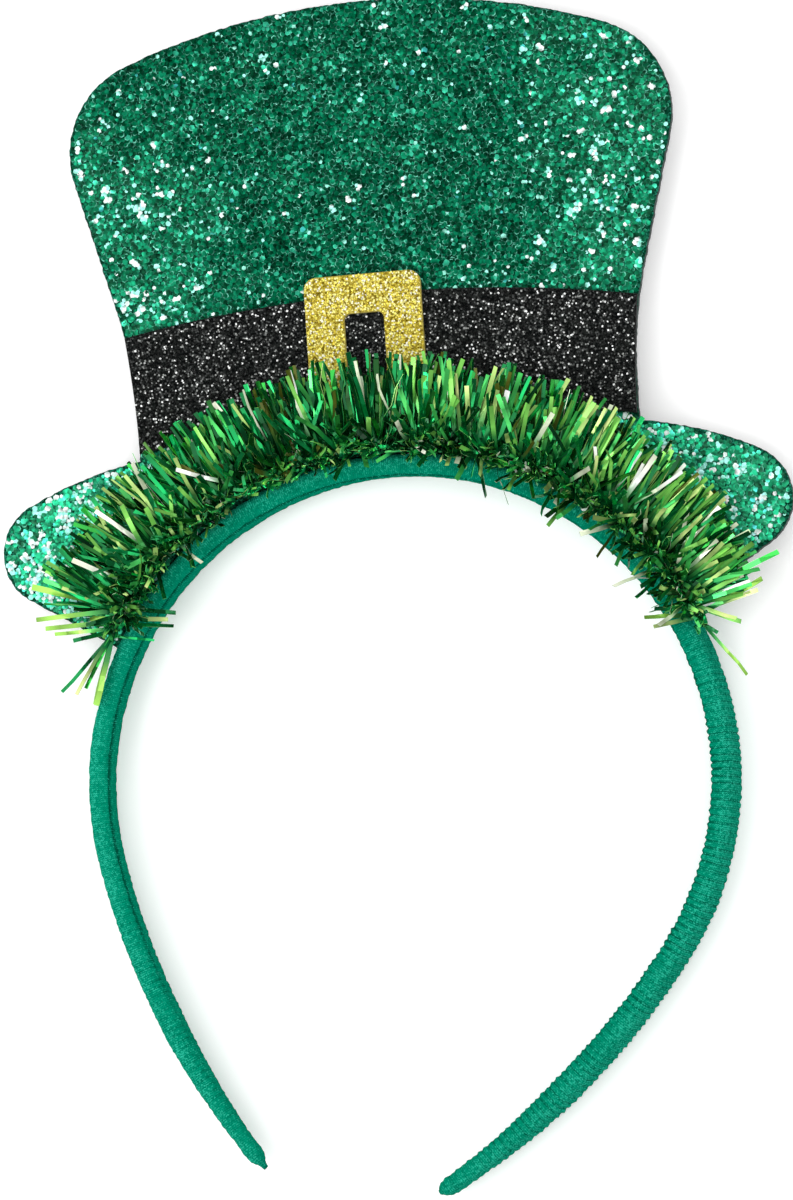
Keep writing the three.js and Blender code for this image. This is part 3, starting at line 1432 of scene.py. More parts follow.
@dataclass
class Buckle(GlitterPlate):
    """A flat frame of fine gold glitter."""

    slot: Slot = Slot.GOLD
    back: float = 9.4 * MM
    front: float = 10.6 * MM
    soft: float = 0.2 * MM
    ground: GroundFinish = GroundFinish("gold_ground", (0.36, 0.27, 0.020), (0.86, 0.74, 0.20), 0.22 * MM)
    edge: FeltFinish = FeltFinish("gold_edge", (0.42, 0.32, 0.04), (0.86, 0.74, 0.22))
    felt: FeltFinish = FeltFinish("buckle_back", (0.20, 0.14, 0.02), (0.50, 0.38, 0.08))
    flakes: GlitterFinish = GlitterFinish("gold_flakes", least_roughness=0.25, dust=0.3)
    glitter: Glitter = Glitter(
        flake=Flake.SQUARE,
        radius=0.29 * MM,
        pitch=0.44 * MM,
        tilt=math.radians(12),
        inset=0.20 * MM,
        # Painted highlight arcs: pale gold, and darker gold on pale flakes
        rim=(1.0, 0.95, 0.62),
        rim_on_pale=(0.55, 0.42, 0.05),
        slant=0.7,
        seed=41,
        pile=0.12 * MM,
        thickness=0.06 * MM,
        tones=(
            Tone((0.200, 0.140, 0.006), 0.14, 0.5),
            Tone((0.460, 0.355, 0.030), 0.24, 0.4),
            Tone((0.780, 0.655, 0.110), 0.32, 0.3),
            Tone((0.960, 0.880, 0.310), 0.18, 0.2),
            # The palest tone is painted highlights, flakes that always read white-gold
            Tone((1.000, 0.980, 0.700), 0.14, 0.0),
        ),
    )
    middle: Spot = (-3 * MM, 91 * MM)
    width: float = 25.2 * MM
    height: float = 34 * MM
    bar: float = 8.3 * MM
    corner: float = 2.6 * MM
    hole_corner: float = 1.4 * MM
    corner_parts: int = 6

    def inside(self, points: np.ndarray, cut: float, corner: float) -> np.ndarray:
        """How far points lie inside a rectangle with round corners.

        Args:
            points: Rows of two coordinates.
            cut: How much smaller than the frame the rectangle is.
            corner: Its corners' radius.

        Returns:
            One distance for each row, negative outside.
        """
        reach = np.array([(self.width - cut) / 2 - corner, (self.height - cut) / 2 - corner])
        beyond = np.abs(points - self.middle) - reach
        return corner - np.linalg.norm(np.maximum(beyond, 0), axis=1) - np.minimum(beyond.max(1), 0)

    def depth(self, points: np.ndarray) -> np.ndarray:
        """How far points lie inside the frame, negative outside it and in its hole."""
        hole = self.inside(points, 2 * self.bar, self.hole_corner)
        return np.minimum(self.inside(points, 0.0, self.corner), -hole)

    def rectangle(self, shape: bmesh.types.BMesh, cut: float) -> list[bmesh.types.BMVert]:
        """Adds a rectangle about the origin.

        Args:
            shape: The bmesh that gets it.
            cut: How much smaller than the frame it is.

        Returns:
            Its corners.
        """
        corners = bmesh.ops.create_grid(shape, x_segments=1, y_segments=1, size=0.5)["verts"]
        bmesh.ops.scale(shape, verts=corners, vec=(self.width - cut, self.height - cut, 1))
        return corners

    def box(self) -> Region:
        """The rectangle that the frame fills.

        Returns:
            It as a region of the hat's plane.
        """
        shape = bmesh.new()
        self.rectangle(shape, 0.0)
        bmesh.ops.translate(shape, verts=shape.verts[:], vec=(*self.middle, 0))
        region = Region(shape)
        shape.free()
        return region

    def outline(self) -> bmesh.types.BMesh:
        """Rounds the corners of two rectangles and bridges their rims.

        Returns:
            A bmesh with a flat ring of faces.
        """
        shape = bmesh.new()
        for cut, corner in ((0.0, self.corner), (2 * self.bar, self.hole_corner)):
            bmesh.ops.bevel(
                shape, geom=self.rectangle(shape, cut), offset=corner, offset_type="OFFSET",
                segments=self.corner_parts, profile=0.5, affect="VERTICES", material=-1,
            )
        bmesh.ops.delete(shape, geom=shape.faces[:], context="FACES_ONLY")
        bmesh.ops.bridge_loops(shape, edges=shape.edges[:])
        bmesh.ops.translate(shape, verts=shape.verts[:], vec=(*self.middle, 0))
        return shape

    def build(self) -> Pieces:
        """Builds the frame and its glitter.

        Returns:
            The pieces.
        """
        plate = self.plate("buckle_plate", "buckle", self.outline())
        spots = self.glitter.spots(self.box())
        return [plate, self.layer("buckle_glitter", spots[self.depth(spots) > self.glitter.inset])]


@dataclass
class HatBand(GlitterPlate):
    """A strip of fine black glitter across the foot of the crown."""

    slot: Slot = Slot.BLACK
    back: float = 8.05 * MM
    front: float = 9.3 * MM
    soft: float = 0.2 * MM
    ground: GroundFinish = GroundFinish("black_ground", (0.003, 0.003, 0.003), (0.05, 0.05, 0.05), 0.22 * MM)
    edge: FeltFinish = FeltFinish("black_felt_edge", (0.004, 0.004, 0.004), (0.03, 0.03, 0.03))
    felt: FeltFinish = FeltFinish("black_felt", (0.004, 0.004, 0.004), (0.03, 0.03, 0.03))
    flakes: GlitterFinish = GlitterFinish("black_flakes", least_roughness=0.25, dust=0.5)
    glitter: Glitter = Glitter(
        flake=Flake.SQUARE,
        radius=0.27 * MM,
        pitch=0.44 * MM,
        tilt=math.radians(13),
        inset=0.26 * MM,
        # Painted highlight arc, grey on the black flakes
        rim=(0.25, 0.26, 0.25),
        seed=31,
        pile=0.12 * MM,
        thickness=0.06 * MM,
        tones=(
            Tone((0.003, 0.004, 0.004), 0.34, 0.6),
            Tone((0.014, 0.016, 0.015), 0.36, 0.5),
            Tone((0.060, 0.064, 0.062), 0.20, 0.4),
            Tone((0.260, 0.270, 0.260), 0.08, 0.2),
            # The white tone is painted glints among the black flakes
            Tone((0.940, 0.960, 0.950), 0.040, 0.0),
        ),
    )
    top: float = 103.8 * MM
    radius: float = 310 * MM
    height: float = 25 * MM
    upper_half: float = 55.5 * MM
    lower_half: float = 53.7 * MM
    guide: float = 84 * MM
    hidden_radius: float = 78 * MM
    tuck: float = 0.4 * MM
    step: float = 1.0 * MM
    buckle: Buckle = field(default_factory=Buckle)

    def outline(self) -> bmesh.types.BMesh:
        """Draws the strip between two arcs about one centre.

        Returns:
            A bmesh with one face.
        """
        centre = (0.0, self.top - self.radius)
        lower = self.radius - self.height
        lower_end = math.asin(self.lower_half / lower)
        upper_end = math.asin(self.upper_half / self.radius)
        pen = Pen((0.0, centre[1] + lower), self.step)
        pen.arc(centre, -lower_end)
        corner = (self.upper_half, centre[1] + self.radius * math.cos(upper_end))
        pen.curve((self.lower_half, self.guide), corner)
        pen.arc(centre, upper_end)
        return pen.mirrored_face()

    def build(self) -> Pieces:
        """Builds the strip and its glitter, which stops at the buckle and under the tinsel.

        Returns:
            The pieces.
        """
        shape = self.outline()
        region = Region(shape)
        strip = self.plate("hat_band_strip", "hat_band", shape)
        spots = self.glitter.spots(region)
        bare = self.buckle.depth(spots) > self.tuck
        bare |= np.linalg.norm(spots, axis=1) < self.hidden_radius
        spots = spots[(region.depth(spots) > self.glitter.inset) & ~bare]
        return [strip, self.layer("hat_band_glitter", spots)]


@dataclass(frozen=True)
class PaintedSheen:
    """Painted light on the hat's face: the crown's sides and the brim are painted brighter, in patches and
    clusters.

    A glow is the light painted on a place. It brightens flakes by a gain, and lifts some to paler tones,
    in clusters as painted glints.
    """

    left_from: float = 22 * MM
    left_span: float = 34 * MM
    left_top: float = 160 * MM
    left_fade: float = 40 * MM
    left_glow: float = 0.68
    right_from: float = 26 * MM
    right_span: float = 24 * MM
    right_glow: float = 0.62
    brim_top: float = 74 * MM
    brim_fade: float = 3 * MM
    brim_glow: float = 0.76
    brim_right_glow: float = 0.20
    patch: float = 7 * MM
    cluster: float = 2.6 * MM
    speck: float = 1.2 * MM
    cluster_share: float = 0.60
    patch_share: float = 0.15
    spark_from: float = 0.41
    spark_span: float = 0.14
    spark_glow: float = 0.315
    spark_brim: float = 0.035
    spark_lift: float = 0.991
    least_lift: float = 0.02
    glow_lift: float = 0.2
    brim_lift: float = 0.25
    glow_gain: float = 1.1
    brim_gain: float = 0.65
    brim_right_gain: float = 0.50
    patch_gain: float = 0.45

    def light(self, spots: np.ndarray) -> tuple[np.ndarray, np.ndarray]:
        """Works out the painted light at spots on the hat.

        Args:
            spots: Rows of two coordinates in the hat's plane.

        Returns:
            For each spot, how far its tone is moved to the pale end and how much brighter it is.
        """
        across, up = spots.T
        on_right = across > 0
        left = ramp(-across, self.left_from, self.left_span) * smooth((self.left_top - up) / self.left_fade)
        right = ramp(across, self.right_from, self.right_span)
        brim = smooth((self.brim_top - up) / self.brim_fade)
        glow = self.left_glow * left + self.right_glow * right * (1 - brim)
        glow = glow + (self.brim_glow + self.brim_right_glow * on_right) * brim
        patches = wander(spots, self.patch, Drift.PATCHES)
        cluster = self.cluster_share * wander(spots, self.cluster, Drift.CLUSTERS)
        cluster = cluster + self.cluster_share * wander(spots, self.speck, Drift.SPECKS)
        cluster = cluster + self.patch_share * patches
        # Painted glints: flakes in the brightest clusters are lifted to the palest tones
        pull = (self.spark_glow - self.spark_brim * brim) * glow
        spark = smooth((cluster - self.spark_from + pull) / self.spark_span)
        lift = (self.least_lift + self.glow_lift * glow + self.brim_lift * brim) * (0.5 + 0.5 * patches)
        lift = np.clip(np.maximum(lift, self.spark_lift * spark), 0, 1)
        gain = 1 + self.glow_gain * glow + (self.brim_gain + self.brim_right_gain * on_right) * brim
        return lift, gain * (1 + self.patch_gain * patches)


@dataclass
class HatPanel(GlitterPlate):
    """Crown and brim, cut as one flat piece, with chunky green glitter on its face."""

    slot: Slot = Slot.GREEN
    back: float = 6 * MM
    front: float = 8 * MM
    soft: float = 0.3 * MM
    ground: GroundFinish = GroundFinish(
        "green_ground", (0.001, 0.030, 0.014), (0.020, 0.230, 0.140), 0.4 * MM
    )
    edge: FeltFinish = FeltFinish("cut_edge", (0.020, 0.030, 0.028), (0.110, 0.140, 0.130))
    felt: FeltFinish = FeltFinish("felt_back", (0.012, 0.016, 0.015), (0.070, 0.080, 0.076))
    flakes: GlitterFinish = GlitterFinish("green_flakes", least_roughness=0.2, dust=0.35)
    glitter: Glitter = Glitter(
        flake=Flake.HEXAGON,
        radius=0.60 * MM,
        pitch=0.86 * MM,
        tilt=math.radians(9),
        inset=0.72 * MM,
        # Painted highlight arcs: bright mint, and paler mint on pale flakes
        rim=(0.270, 1.000, 0.740),
        rim_on_pale=(0.28, 0.86, 0.66),
        rim_floor=0.04,
        rim_curl=1.5,
        rim_share=1.0,
        rim_power=1.7,
        painted_glow_haze=0.007,
        lone_size=0.75,
        slant=0.8,
        top=0.60,
        seed=21,
        tones=(
            Tone((0.000, 0.030, 0.012), 0.30, 0.6),
            Tone((0.000, 0.066, 0.028), 0.40, 0.5),
            Tone((0.002, 0.132, 0.062), 0.26, 0.5),
            Tone((0.030, 0.300, 0.270), 0.003, 0.4),
            Tone((0.024, 0.320, 0.190), 0.05, 0.4),
            # The two palest tones are painted glints; the painted sheen lifts clustered flakes to them
            Tone((0.300, 0.800, 0.640), 0.014, 0.2),
            Tone((0.820, 1.000, 0.940), 0.005, 0.0),
        ),
    )
    crown_top: float = 167 * MM
    crown_foot: float = 90 * MM
    top_radius: float = 150 * MM
    corner: float = 20.5 * MM
    waist_half: float = 54 * MM
    waist_height: float = 80 * MM
    side_radius: float = 100 * MM
    side_lean: float = math.radians(15)
    brim_joint: float = 72.2 * MM
    brim_crest: Spot = (67.3 * MM, 70.3 * MM)
    brim_span: float = math.radians(62)
    lobe_centre: Spot = (73.7 * MM, 54 * MM)
    lobe_radius: float = 11.5 * MM
    lobe_top: float = math.radians(62)
    lobe_foot: float = math.radians(-57)
    seat_gap: float = 0.05 * MM
    step: float = 0.5 * MM
    ragged: float = 0.20 * MM
    rag_pitch: float = 0.9 * MM
    clearance: float = 0.25 * MM
    painted_sheen: PaintedSheen = PaintedSheen()
    band: HatBand = field(default_factory=HatBand)

    def corner_centre(self) -> Vector:
        """Centre of the crown's round corner, which touches the leaning side and the top's arc.

        Returns:
            Its place in the hat's plane.
        """
        top_centre = Vector((0, self.crown_top - self.top_radius))
        up = Vector((math.sin(self.side_lean), math.cos(self.side_lean)))
        inward = Vector((-up.y, up.x))
        side_x = self.waist_half + self.side_radius * (1 - up.y)
        start = Vector((side_x, self.waist_height + self.side_radius * up.x))
        start = start + inward * self.corner - top_centre
        along = start.dot(up)
        reach = self.top_radius - self.corner
        climb = math.sqrt(along**2 - start.length_squared + reach**2) - along
        return start + up * climb + top_centre

    def on_lobe(self, angle: float) -> Spot:
        """A point on the brim's round end."""
        x, y = self.lobe_centre
        return (x + self.lobe_radius * math.cos(angle), y + self.lobe_radius * math.sin(angle))

    def outline(self) -> bmesh.types.BMesh:
        """Draws the right half from the seat on the band to the top of the crown, and mirrors it.

        Returns:
            A bmesh with one face.
        """
        seat = HOOP_RADIUS + BAND_THICKNESS / 2 - self.back * BAND_FLARE + self.seat_gap
        corner = self.corner_centre()
        top_height = self.crown_top - self.top_radius
        top_end = math.atan2(corner.y - top_height, corner.x)
        lean = (math.cos(self.side_lean), -math.sin(self.side_lean))
        pen = Pen((0.0, seat), self.step)
        pen.arc((0.0, 0.0), -self.brim_span)
        pen.line(self.on_lobe(self.lobe_foot))
        pen.arc(self.lobe_centre, self.lobe_top - self.lobe_foot)
        pen.curve(self.brim_crest, (self.waist_half, self.brim_joint))
        pen.line((self.waist_half, self.waist_height))
        pen.arc((self.waist_half + self.side_radius, self.waist_height), -self.side_lean)
        pen.line((corner.x + self.corner * lean[0], corner.y + self.corner * lean[1]))
        pen.arc(corner, self.side_lean + top_end)
        pen.arc((0.0, top_height), math.pi / 2 - top_end)
        return pen.mirrored_face()

    def rag(self, shape: bmesh.types.BMesh) -> None:
        """Moves the outline a little, as a die cuts through glitter.

        Args:
            shape: The flat shape.
        """
        verts = shape.verts[:]
        places = np.array([tuple(vert.co.xy) for vert in verts])
        drifts = (Drift.RAG_ACROSS, Drift.RAG_UP)
        shifts = [wander(places, self.rag_pitch, drift) * self.ragged for drift in drifts]
        for vert, right, up in zip(verts, *shifts):
            vert.co.x += right
            vert.co.y += up

    def bare_spots(self, region: Region) -> np.ndarray:
        """Places for flakes on the face, clear of the cut edge and of the strip that covers part of it.

        Args:
            region: The panel's outline.

        Returns:
            Rows of two coordinates.
        """
        strip = self.band.outline()
        covered = Region(strip)
        strip.free()
        spots = self.glitter.spots(region)
        spots = spots[region.depth(spots) > self.glitter.inset]
        return spots[covered.depth(spots) < -self.clearance]

    def build(self) -> Pieces:
        """Builds the board, and the glitter of the crown's halves and of the brim.

        Returns:
            The pieces.
        """
        shape = self.outline()
        region = Region(shape)
        self.rag(shape)
        pieces = [self.plate("hat_panel_board", "hat_panel", shape)]
        spots = self.bare_spots(region)
        above = spots[:, 1] > self.crown_foot
        left = spots[:, 0] < 0
        fields = {
            "crown_glitter_left": above & left,
            "crown_glitter_right": above & ~left,
            "brim_glitter": ~above,
        }
        material = self.flakes.material()
        for name, chosen in fields.items():
            part = spots[chosen]
            mesh = self.glitter.mesh(name, part, self.front, *self.painted_sheen.light(part))
            pieces.append(hand_over(show(name, mesh, material), self.slot))
        return pieces


@dataclass(frozen=True, kw_only=True)
class StripLook:
    """How strips bend and roll, their painted brightness (shine), and the tones that their lime sides end in.
    """

    bend: float
    roll: float
    shine: float
    tips: tuple[Tone, ...] = (
        Tone((0.060, 0.480, 0.100), 0.40, 0.50),
        Tone((0.200, 0.560, 0.100), 0.36, 0.35),
        Tone((0.500, 0.740, 0.220), 0.15, 0.25),
        # Painted glints: the palest tone
        Tone((0.880, 0.960, 0.700), 0.09, 0.20),
    )


@dataclass(frozen=True, kw_only=True)
class StripSet(StripLook):
    """Strips that point one way: angles in degrees, sizes in metres."""

    count: int
    rise: Range
    sway: float
    length: Range
    root: float
    lime: float
    width: Range = (0.65 * MM, 1.1 * MM)
    trim: float = 3.5


@dataclass(frozen=True)
class LooseEnd:
    """One strip at an end of the garland: turns in degrees from the hat's middle, sizes in millimetres."""

    turn: float
    tip_turn: float
    tip_radius: float
    tip_height: float
    width: float
    lime: float


@dataclass(frozen=True)
class Strips:
    """Many strips, one row for each: its root, its direction and its size."""

    root: np.ndarray
    heading: np.ndarray
    length: np.ndarray
    width: np.ndarray


@dataclass
class TinselGarland:
    """A fringe of foil strips twisted into a core thread, which lies round the foot of the hat.

    Turns are in degrees from the hat's middle, to the right if positive, and clump, lean and end_flare are in
    degrees too. Charts hold turns and shares.
    """

    core_radius: float = 70.5 * MM
    core_height: float = 13.2 * MM
    thread: float = 0.8 * MM
    thread_sides: int = 10
    thread_parts: int = 150
    first: float = -60.5
    last: float = 66.5
    thickness: float = 0.10 * MM
    lowest: float = 9.9 * MM
    root_spread: float = 0.6
    clump: float = 2.2
    clump_pitch: float = 4.0
    lean: float = 8
    end_from: float = 54
    end_span: float = 12
    end_flare: float = 9
    end_trim: float = 0.15
    end_rise: float = 0.6 * MM
    waver: float = 0.05
    twist: float = 0.3
    crumple: float = 0.014
    parts: int = 5
    seed: int = 51
    emerald: Colour = (0.003, 0.350, 0.085)
    leaf: Colour = (0.022, 0.350, 0.042)
    olive: Colour = (0.075, 0.092, 0.012)
    base: Colour = (0.004, 0.260, 0.068)
    leaf_share: float = 0.15
    # Where the lime side turns from base green to its tip tone, as painted shade near the core
    tip_from: float = 0.28
    tip_span: float = 0.4
    back_least: float = 0.15
    back_span: float = 0.95
    back_power: float = 1.3
    # Painted reflections along each strip (glance), and painted shade towards the core (root_shade,
    # root_reach)
    glance: Range = (0.45, 1.45)
    root_shade: float = 0.22
    root_reach: float = 0.48
    green_gloss: float = 0.80
    drop_chart: Rows = (
        (-66, 0.5), (-58, 0.9), (-50, 0.35), (-25, 0.1), (5, 0.1), (14, 0.5), (24, 0.25), (34, 0.9), (67, 1.0)
    )
    # More lime at the ends is the garland's mix; the extra on the right is partly painted light, as those
    # strips shine brighter
    lime_chart: Rows = (
        (-70, 1.2), (-50, 1.0), (-24, 0.7), (-15, 1.1), (-6, 0.65), (20, 1.0), (45, 1.8), (70, 1.8)
    )
    olive_chart: Rows = ((-54, 0.0), (-28, 0.06), (-20, 0.5), (-12, 0.5), (-7, 0.06), (50, 0.06), (61, 0.0))
    sets: tuple[StripSet, ...] = (
        StripSet(
            count=900, rise=(1, 8), sway=8, length=(12.5 * MM, 17 * MM), root=1.0 * MM,
            bend=0.05, roll=0.5, lime=0.08, shine=0.6,
        ),
        StripSet(
            count=780, rise=(7, 24), sway=10, length=(13.5 * MM, 20.5 * MM), root=1.4 * MM,
            bend=0.07, roll=0.55, lime=0.40, shine=1.15,
        ),
        StripSet(
            count=150, rise=(10, 45), sway=26, length=(10 * MM, 18 * MM), root=1.6 * MM,
            bend=0.12, roll=0.6, lime=0.40, shine=1.15,
        ),
        StripSet(
            count=300, rise=(35, 85), sway=22, length=(6 * MM, 11 * MM), root=1.8 * MM,
            bend=0.16, roll=0.6, lime=0.26, shine=0.9,
        ),
        StripSet(
            count=1000, rise=(20, 160), sway=60, length=(1.8 * MM, 4.5 * MM), root=2.4 * MM,
            bend=0.30, roll=1.2, lime=0.34, shine=1.35, width=(0.5 * MM, 0.9 * MM), trim=0.0,
        ),
    )
    drops: StripSet = StripSet(
        count=320, rise=(100, 150), sway=20, length=(6 * MM, 11 * MM), root=1.8 * MM,
        bend=0.14, roll=0.6, lime=0.2, shine=0.7,
    )
    ends: StripLook = StripLook(
        bend=0.03, roll=0.15, shine=1.0,
        tips=(Tone((0.280, 0.560, 0.085), 0.7, 0.35), Tone((0.600, 0.740, 0.280), 0.3, 0.25)),
    )
    loose_ends: tuple[LooseEnd, ...] = (
        LooseEnd(-59.6, -72.7, 67.9, 15, 1.15, 1.0),
        LooseEnd(-59.8, -72.6, 69.3, 14, 0.8, 1.0),
        LooseEnd(-60.0, -70.3, 72.0, 13, 0.8, 0.0),
        LooseEnd(-60.1, -71.7, 73.2, 15, 1.1, 1.0),
        LooseEnd(-60.3, -72.0, 76.4, 14, 0.8, 0.0),
        LooseEnd(-55.2, -62.7, 86.9, 15, 1.0, 1.0),
        LooseEnd(-57.6, -63.4, 84.0, 16, 1.0, 1.0),
        LooseEnd(-58.8, -63.9, 81.8, 14, 0.8, 1.0),
        LooseEnd(-59.3, -63.8, 77.2, 15, 0.9, 0.0),
        LooseEnd(-54.8, -59.1, 90.0, 17, 1.3, 1.0),
        LooseEnd(-55.2, -56.3, 90.2, 16, 1.0, 0.0),
        LooseEnd(-55.0, -50.5, 60.9, 15, 0.9, 0.0),
        LooseEnd(-57.0, -52.1, 60.9, 16, 0.9, 1.0),
        LooseEnd(-58.0, -52.9, 59.6, 14, 0.8, 0.0),
        LooseEnd(-60.3, -57.6, 62.0, 12.6, 0.5, 0.0),
        LooseEnd(-54.2, -58.2, 84.2, 15.0, 1.1, 0.3),
        LooseEnd(-55.4, -58.6, 82.2, 14.0, 1.0, 0.0),
        LooseEnd(-56.0, -59.0, 80.6, 13.5, 1.1, 0.4),
        LooseEnd(-56.6, -59.2, 78.6, 13.0, 1.1, 0.2),
        LooseEnd(-57.2, -59.4, 76.6, 13.0, 1.2, 0.3),
        LooseEnd(-57.8, -59.6, 74.6, 13.5, 1.2, 0.1),
        LooseEnd(66.0, 77.4, 75.6, 14, 0.7, 1.0),
        LooseEnd(65.0, 60.8, 60.9, 16, 1.0, 1.0),
        LooseEnd(65.4, 63.1, 61.5, 15, 1.0, 1.0),
        LooseEnd(64.1, 60.2, 63.7, 15, 0.9, 0.0),
        LooseEnd(65.2, 65.5, 86.2, 16, 1.1, 1.0),
        LooseEnd(64.6, 66.4, 84.4, 15, 0.9, 1.0),
        LooseEnd(61.9, 62.9, 92.1, 16, 1.1, 0.0),
        LooseEnd(66.5, 69.4, 72.8, 14, 0.8, 0.0),
    )
    foil: FoilFinish = FoilFinish()
    core_felt: FeltFinish = FeltFinish("core_thread", (0.001, 0.020, 0.006), (0.010, 0.080, 0.030))

    def spokes(self, turns: np.ndarray) -> tuple[np.ndarray, np.ndarray]:
        """Directions at turns from the hat's middle.

        Args:
            turns: The turns.

        Returns:
            Outward directions, and directions along the garland, in the hat's frame.
        """
        angle = np.radians(turns)
        zero = np.zeros_like(angle)
        outward = np.column_stack([np.sin(angle), np.cos(angle), zero])
        return outward, np.column_stack([np.cos(angle), -np.sin(angle), zero])

    def turns(self, roots: np.ndarray) -> np.ndarray:
        """Turns at which strips are rooted."""
        return np.degrees(np.arctan2(roots[:, 0], roots[:, 1]))

    def share(self, chart: Rows, turns: np.ndarray) -> np.ndarray:
        """Reads a chart at many turns."""
        return np.interp(turns, *np.array(chart, float).T)

    def standing(self, rule: StripSet, rng: np.random.Generator) -> Strips:
        """Places one set of strips, in clumps that lean one way and flare at the garland's ends.

        Args:
            rule: The set.
            rng: Source of random numbers.

        Returns:
            The strips.
        """
        turns = rng.uniform(self.first + rule.trim, self.last - rule.trim, rule.count)
        turns = turns + self.clump * wander(turns[:, None], self.clump_pitch, Drift.CLUMPS)
        rise = np.radians(rng.uniform(*rule.rise, rule.count))
        sway = np.radians(rng.normal(0, rule.sway, rule.count))
        sway = sway + np.radians(self.lean) * wander(turns[:, None], 2 * self.clump_pitch, Drift.LEAN)
        end = np.clip((np.abs(turns) - self.end_from) / self.end_span, 0, 1) * np.sign(turns)
        sway = sway + np.radians(self.end_flare) * end * rng.uniform(0, 1, rule.count)
        strips = self.placed(turns, rise, sway, rule, rng)
        length = strips.length * (1 - self.end_trim * np.abs(end))
        return Strips(strips.root, strips.heading, length, strips.width)

    def hanging(self, rule: StripSet, rng: np.random.Generator) -> Strips:
        """Places the strips that hang inwards over the band.

        Args:
            rule: Their sizes, and how many to try; some are left out where few hang.
            rng: Source of random numbers.

        Returns:
            The strips.
        """
        turns = rng.uniform(self.first + rule.trim, self.last - rule.trim, rule.count)
        turns = turns[rng.uniform(0, 1, rule.count) < self.share(self.drop_chart, turns)]
        rise = np.radians(rng.uniform(*rule.rise, len(turns)))
        sway = np.radians(rng.normal(0, rule.sway, len(turns)))
        return self.placed(turns, rise, sway, rule, rng)

    def placed(
        self, turns: np.ndarray, rise: np.ndarray, sway: np.ndarray, rule: StripSet, rng: np.random.Generator
    ) -> Strips:
        """Turns angles into roots and directions.

        Args:
            turns: Places along the core.
            rise: Angles up from straight outwards.
            sway: Angles along the garland.
            rule: The strips' sizes.
            rng: Source of random numbers.

        Returns:
            The strips.
        """
        count = len(turns)
        outward, along = self.spokes(turns)
        heading = np.cos(rise)[:, None] * outward + np.sin(rise)[:, None] * UP
        heading = np.cos(sway)[:, None] * heading + np.sin(sway)[:, None] * along
        spread = rng.uniform(-self.root_spread, self.root_spread, count)
        root = outward * (self.core_radius + spread * rule.root)[:, None]
        root = root + UP * (self.core_height + rng.uniform(0, 1, count) * rule.root)[:, None]
        return Strips(root, heading, rng.uniform(*rule.length, count), rng.uniform(*rule.width, count))

    def charted(self) -> Strips:
        """Places the loose strips at the garland's two ends, one by one.

        Returns:
            The strips.
        """
        ends = self.loose_ends
        outward, _ = self.spokes(np.array([end.turn for end in ends]))
        root = outward * self.core_radius + np.array([0, 0, self.core_height + self.end_rise])
        reach, _ = self.spokes(np.array([end.tip_turn for end in ends]))
        tip = reach * np.array([end.tip_radius for end in ends])[:, None] * MM
        tip[:, 2] = np.array([end.tip_height for end in ends]) * MM
        heading = tip - root
        width = np.array([end.width for end in ends]) * MM
        return Strips(root, unit(heading), np.linalg.norm(heading, axis=1), width)

    def laid(
        self, motif: Motif, strips: Strips, look: StripLook, lime: np.ndarray, rng: np.random.Generator
    ) -> tuple[np.ndarray, np.ndarray, np.ndarray]:
        """Lays strips along bent, twisted and slightly crumpled lines.

        Args:
            motif: One strip.
            strips: The strips.
            look: How they bend, roll and shine.
            lime: For each strip, how surely its lime side is up.
            rng: Source of random numbers.

        Returns:
            Places, colours and gloss of their corners, by strip and corner.
        """
        count = len(strips.root)
        x, y, z = motif.axes()
        heading = strips.heading
        side = unit(np.cross(heading, UP + rng.normal(0, self.waver, (count, 3))))
        face = np.cross(side, heading)
        flip = np.where(rng.uniform(0, 1, count) < lime, 0.0, math.pi)
        roll = flip + rng.normal(0, look.roll, count)
        turn = roll[:, None, None] + rng.normal(0, self.twist, count)[:, None, None] * x
        across = np.cos(turn) * side[:, None] + np.sin(turn) * face[:, None]
        normal = np.cos(turn) * face[:, None] - np.sin(turn) * side[:, None]
        curl = rng.normal(0, look.bend, (count, 1, 1)) * face[:, None]
        curl = curl + rng.normal(0, look.bend / 2, (count, 1, 1)) * side[:, None]
        crumple = rng.normal(0, self.crumple, (count, self.parts + 1))[:, self.stations(motif), None]
        path = x * heading[:, None] + x**2 * curl + crumple * normal
        line = strips.root[:, None] + strips.length[:, None, None] * path
        line[:, :, 2] = np.maximum(line[:, :, 2], self.lowest)
        points = line + y * across * (strips.width / 2)[:, None, None] + z * normal * (self.thickness / 2)
        tints, gloss = self.colours(motif, strips.root, look.tips, rng)
        # shine paints a set's colours: below 1 is painted shade, as on the lowest layer and hanging strips;
        # above 1 painted light
        return points, tints * look.shine, gloss

    def stations(self, motif: Motif) -> np.ndarray:
        """Numbers a strip's corners by their place along it."""
        return np.rint(motif.corners[:, 0] * self.parts).astype(int)

    def colours(
        self, motif: Motif, roots: np.ndarray, tips: Sequence[Tone], rng: np.random.Generator
    ) -> tuple[np.ndarray, np.ndarray]:
        """Colours strips: lime or olive on one side, emerald on the other, with painted shade towards the core
        and painted reflections along each.

        Args:
            motif: One strip.
            roots: Where each strip is rooted.
            tips: Tones that the lime side may end in.
            rng: Source of random numbers.

        Returns:
            Linear colours and gloss, by strip and corner.
        """
        count = len(roots)
        along = motif.corners[:, 0]
        upper = motif.corners[:, 2] > 0
        tip, shine = pick(tips, np.zeros(count), rng)
        brown = rng.uniform(0, 1, count) < self.share(self.olive_chart, self.turns(roots))
        tip = np.where(brown[:, None], np.array(self.olive), tip)
        base = np.array(self.base)
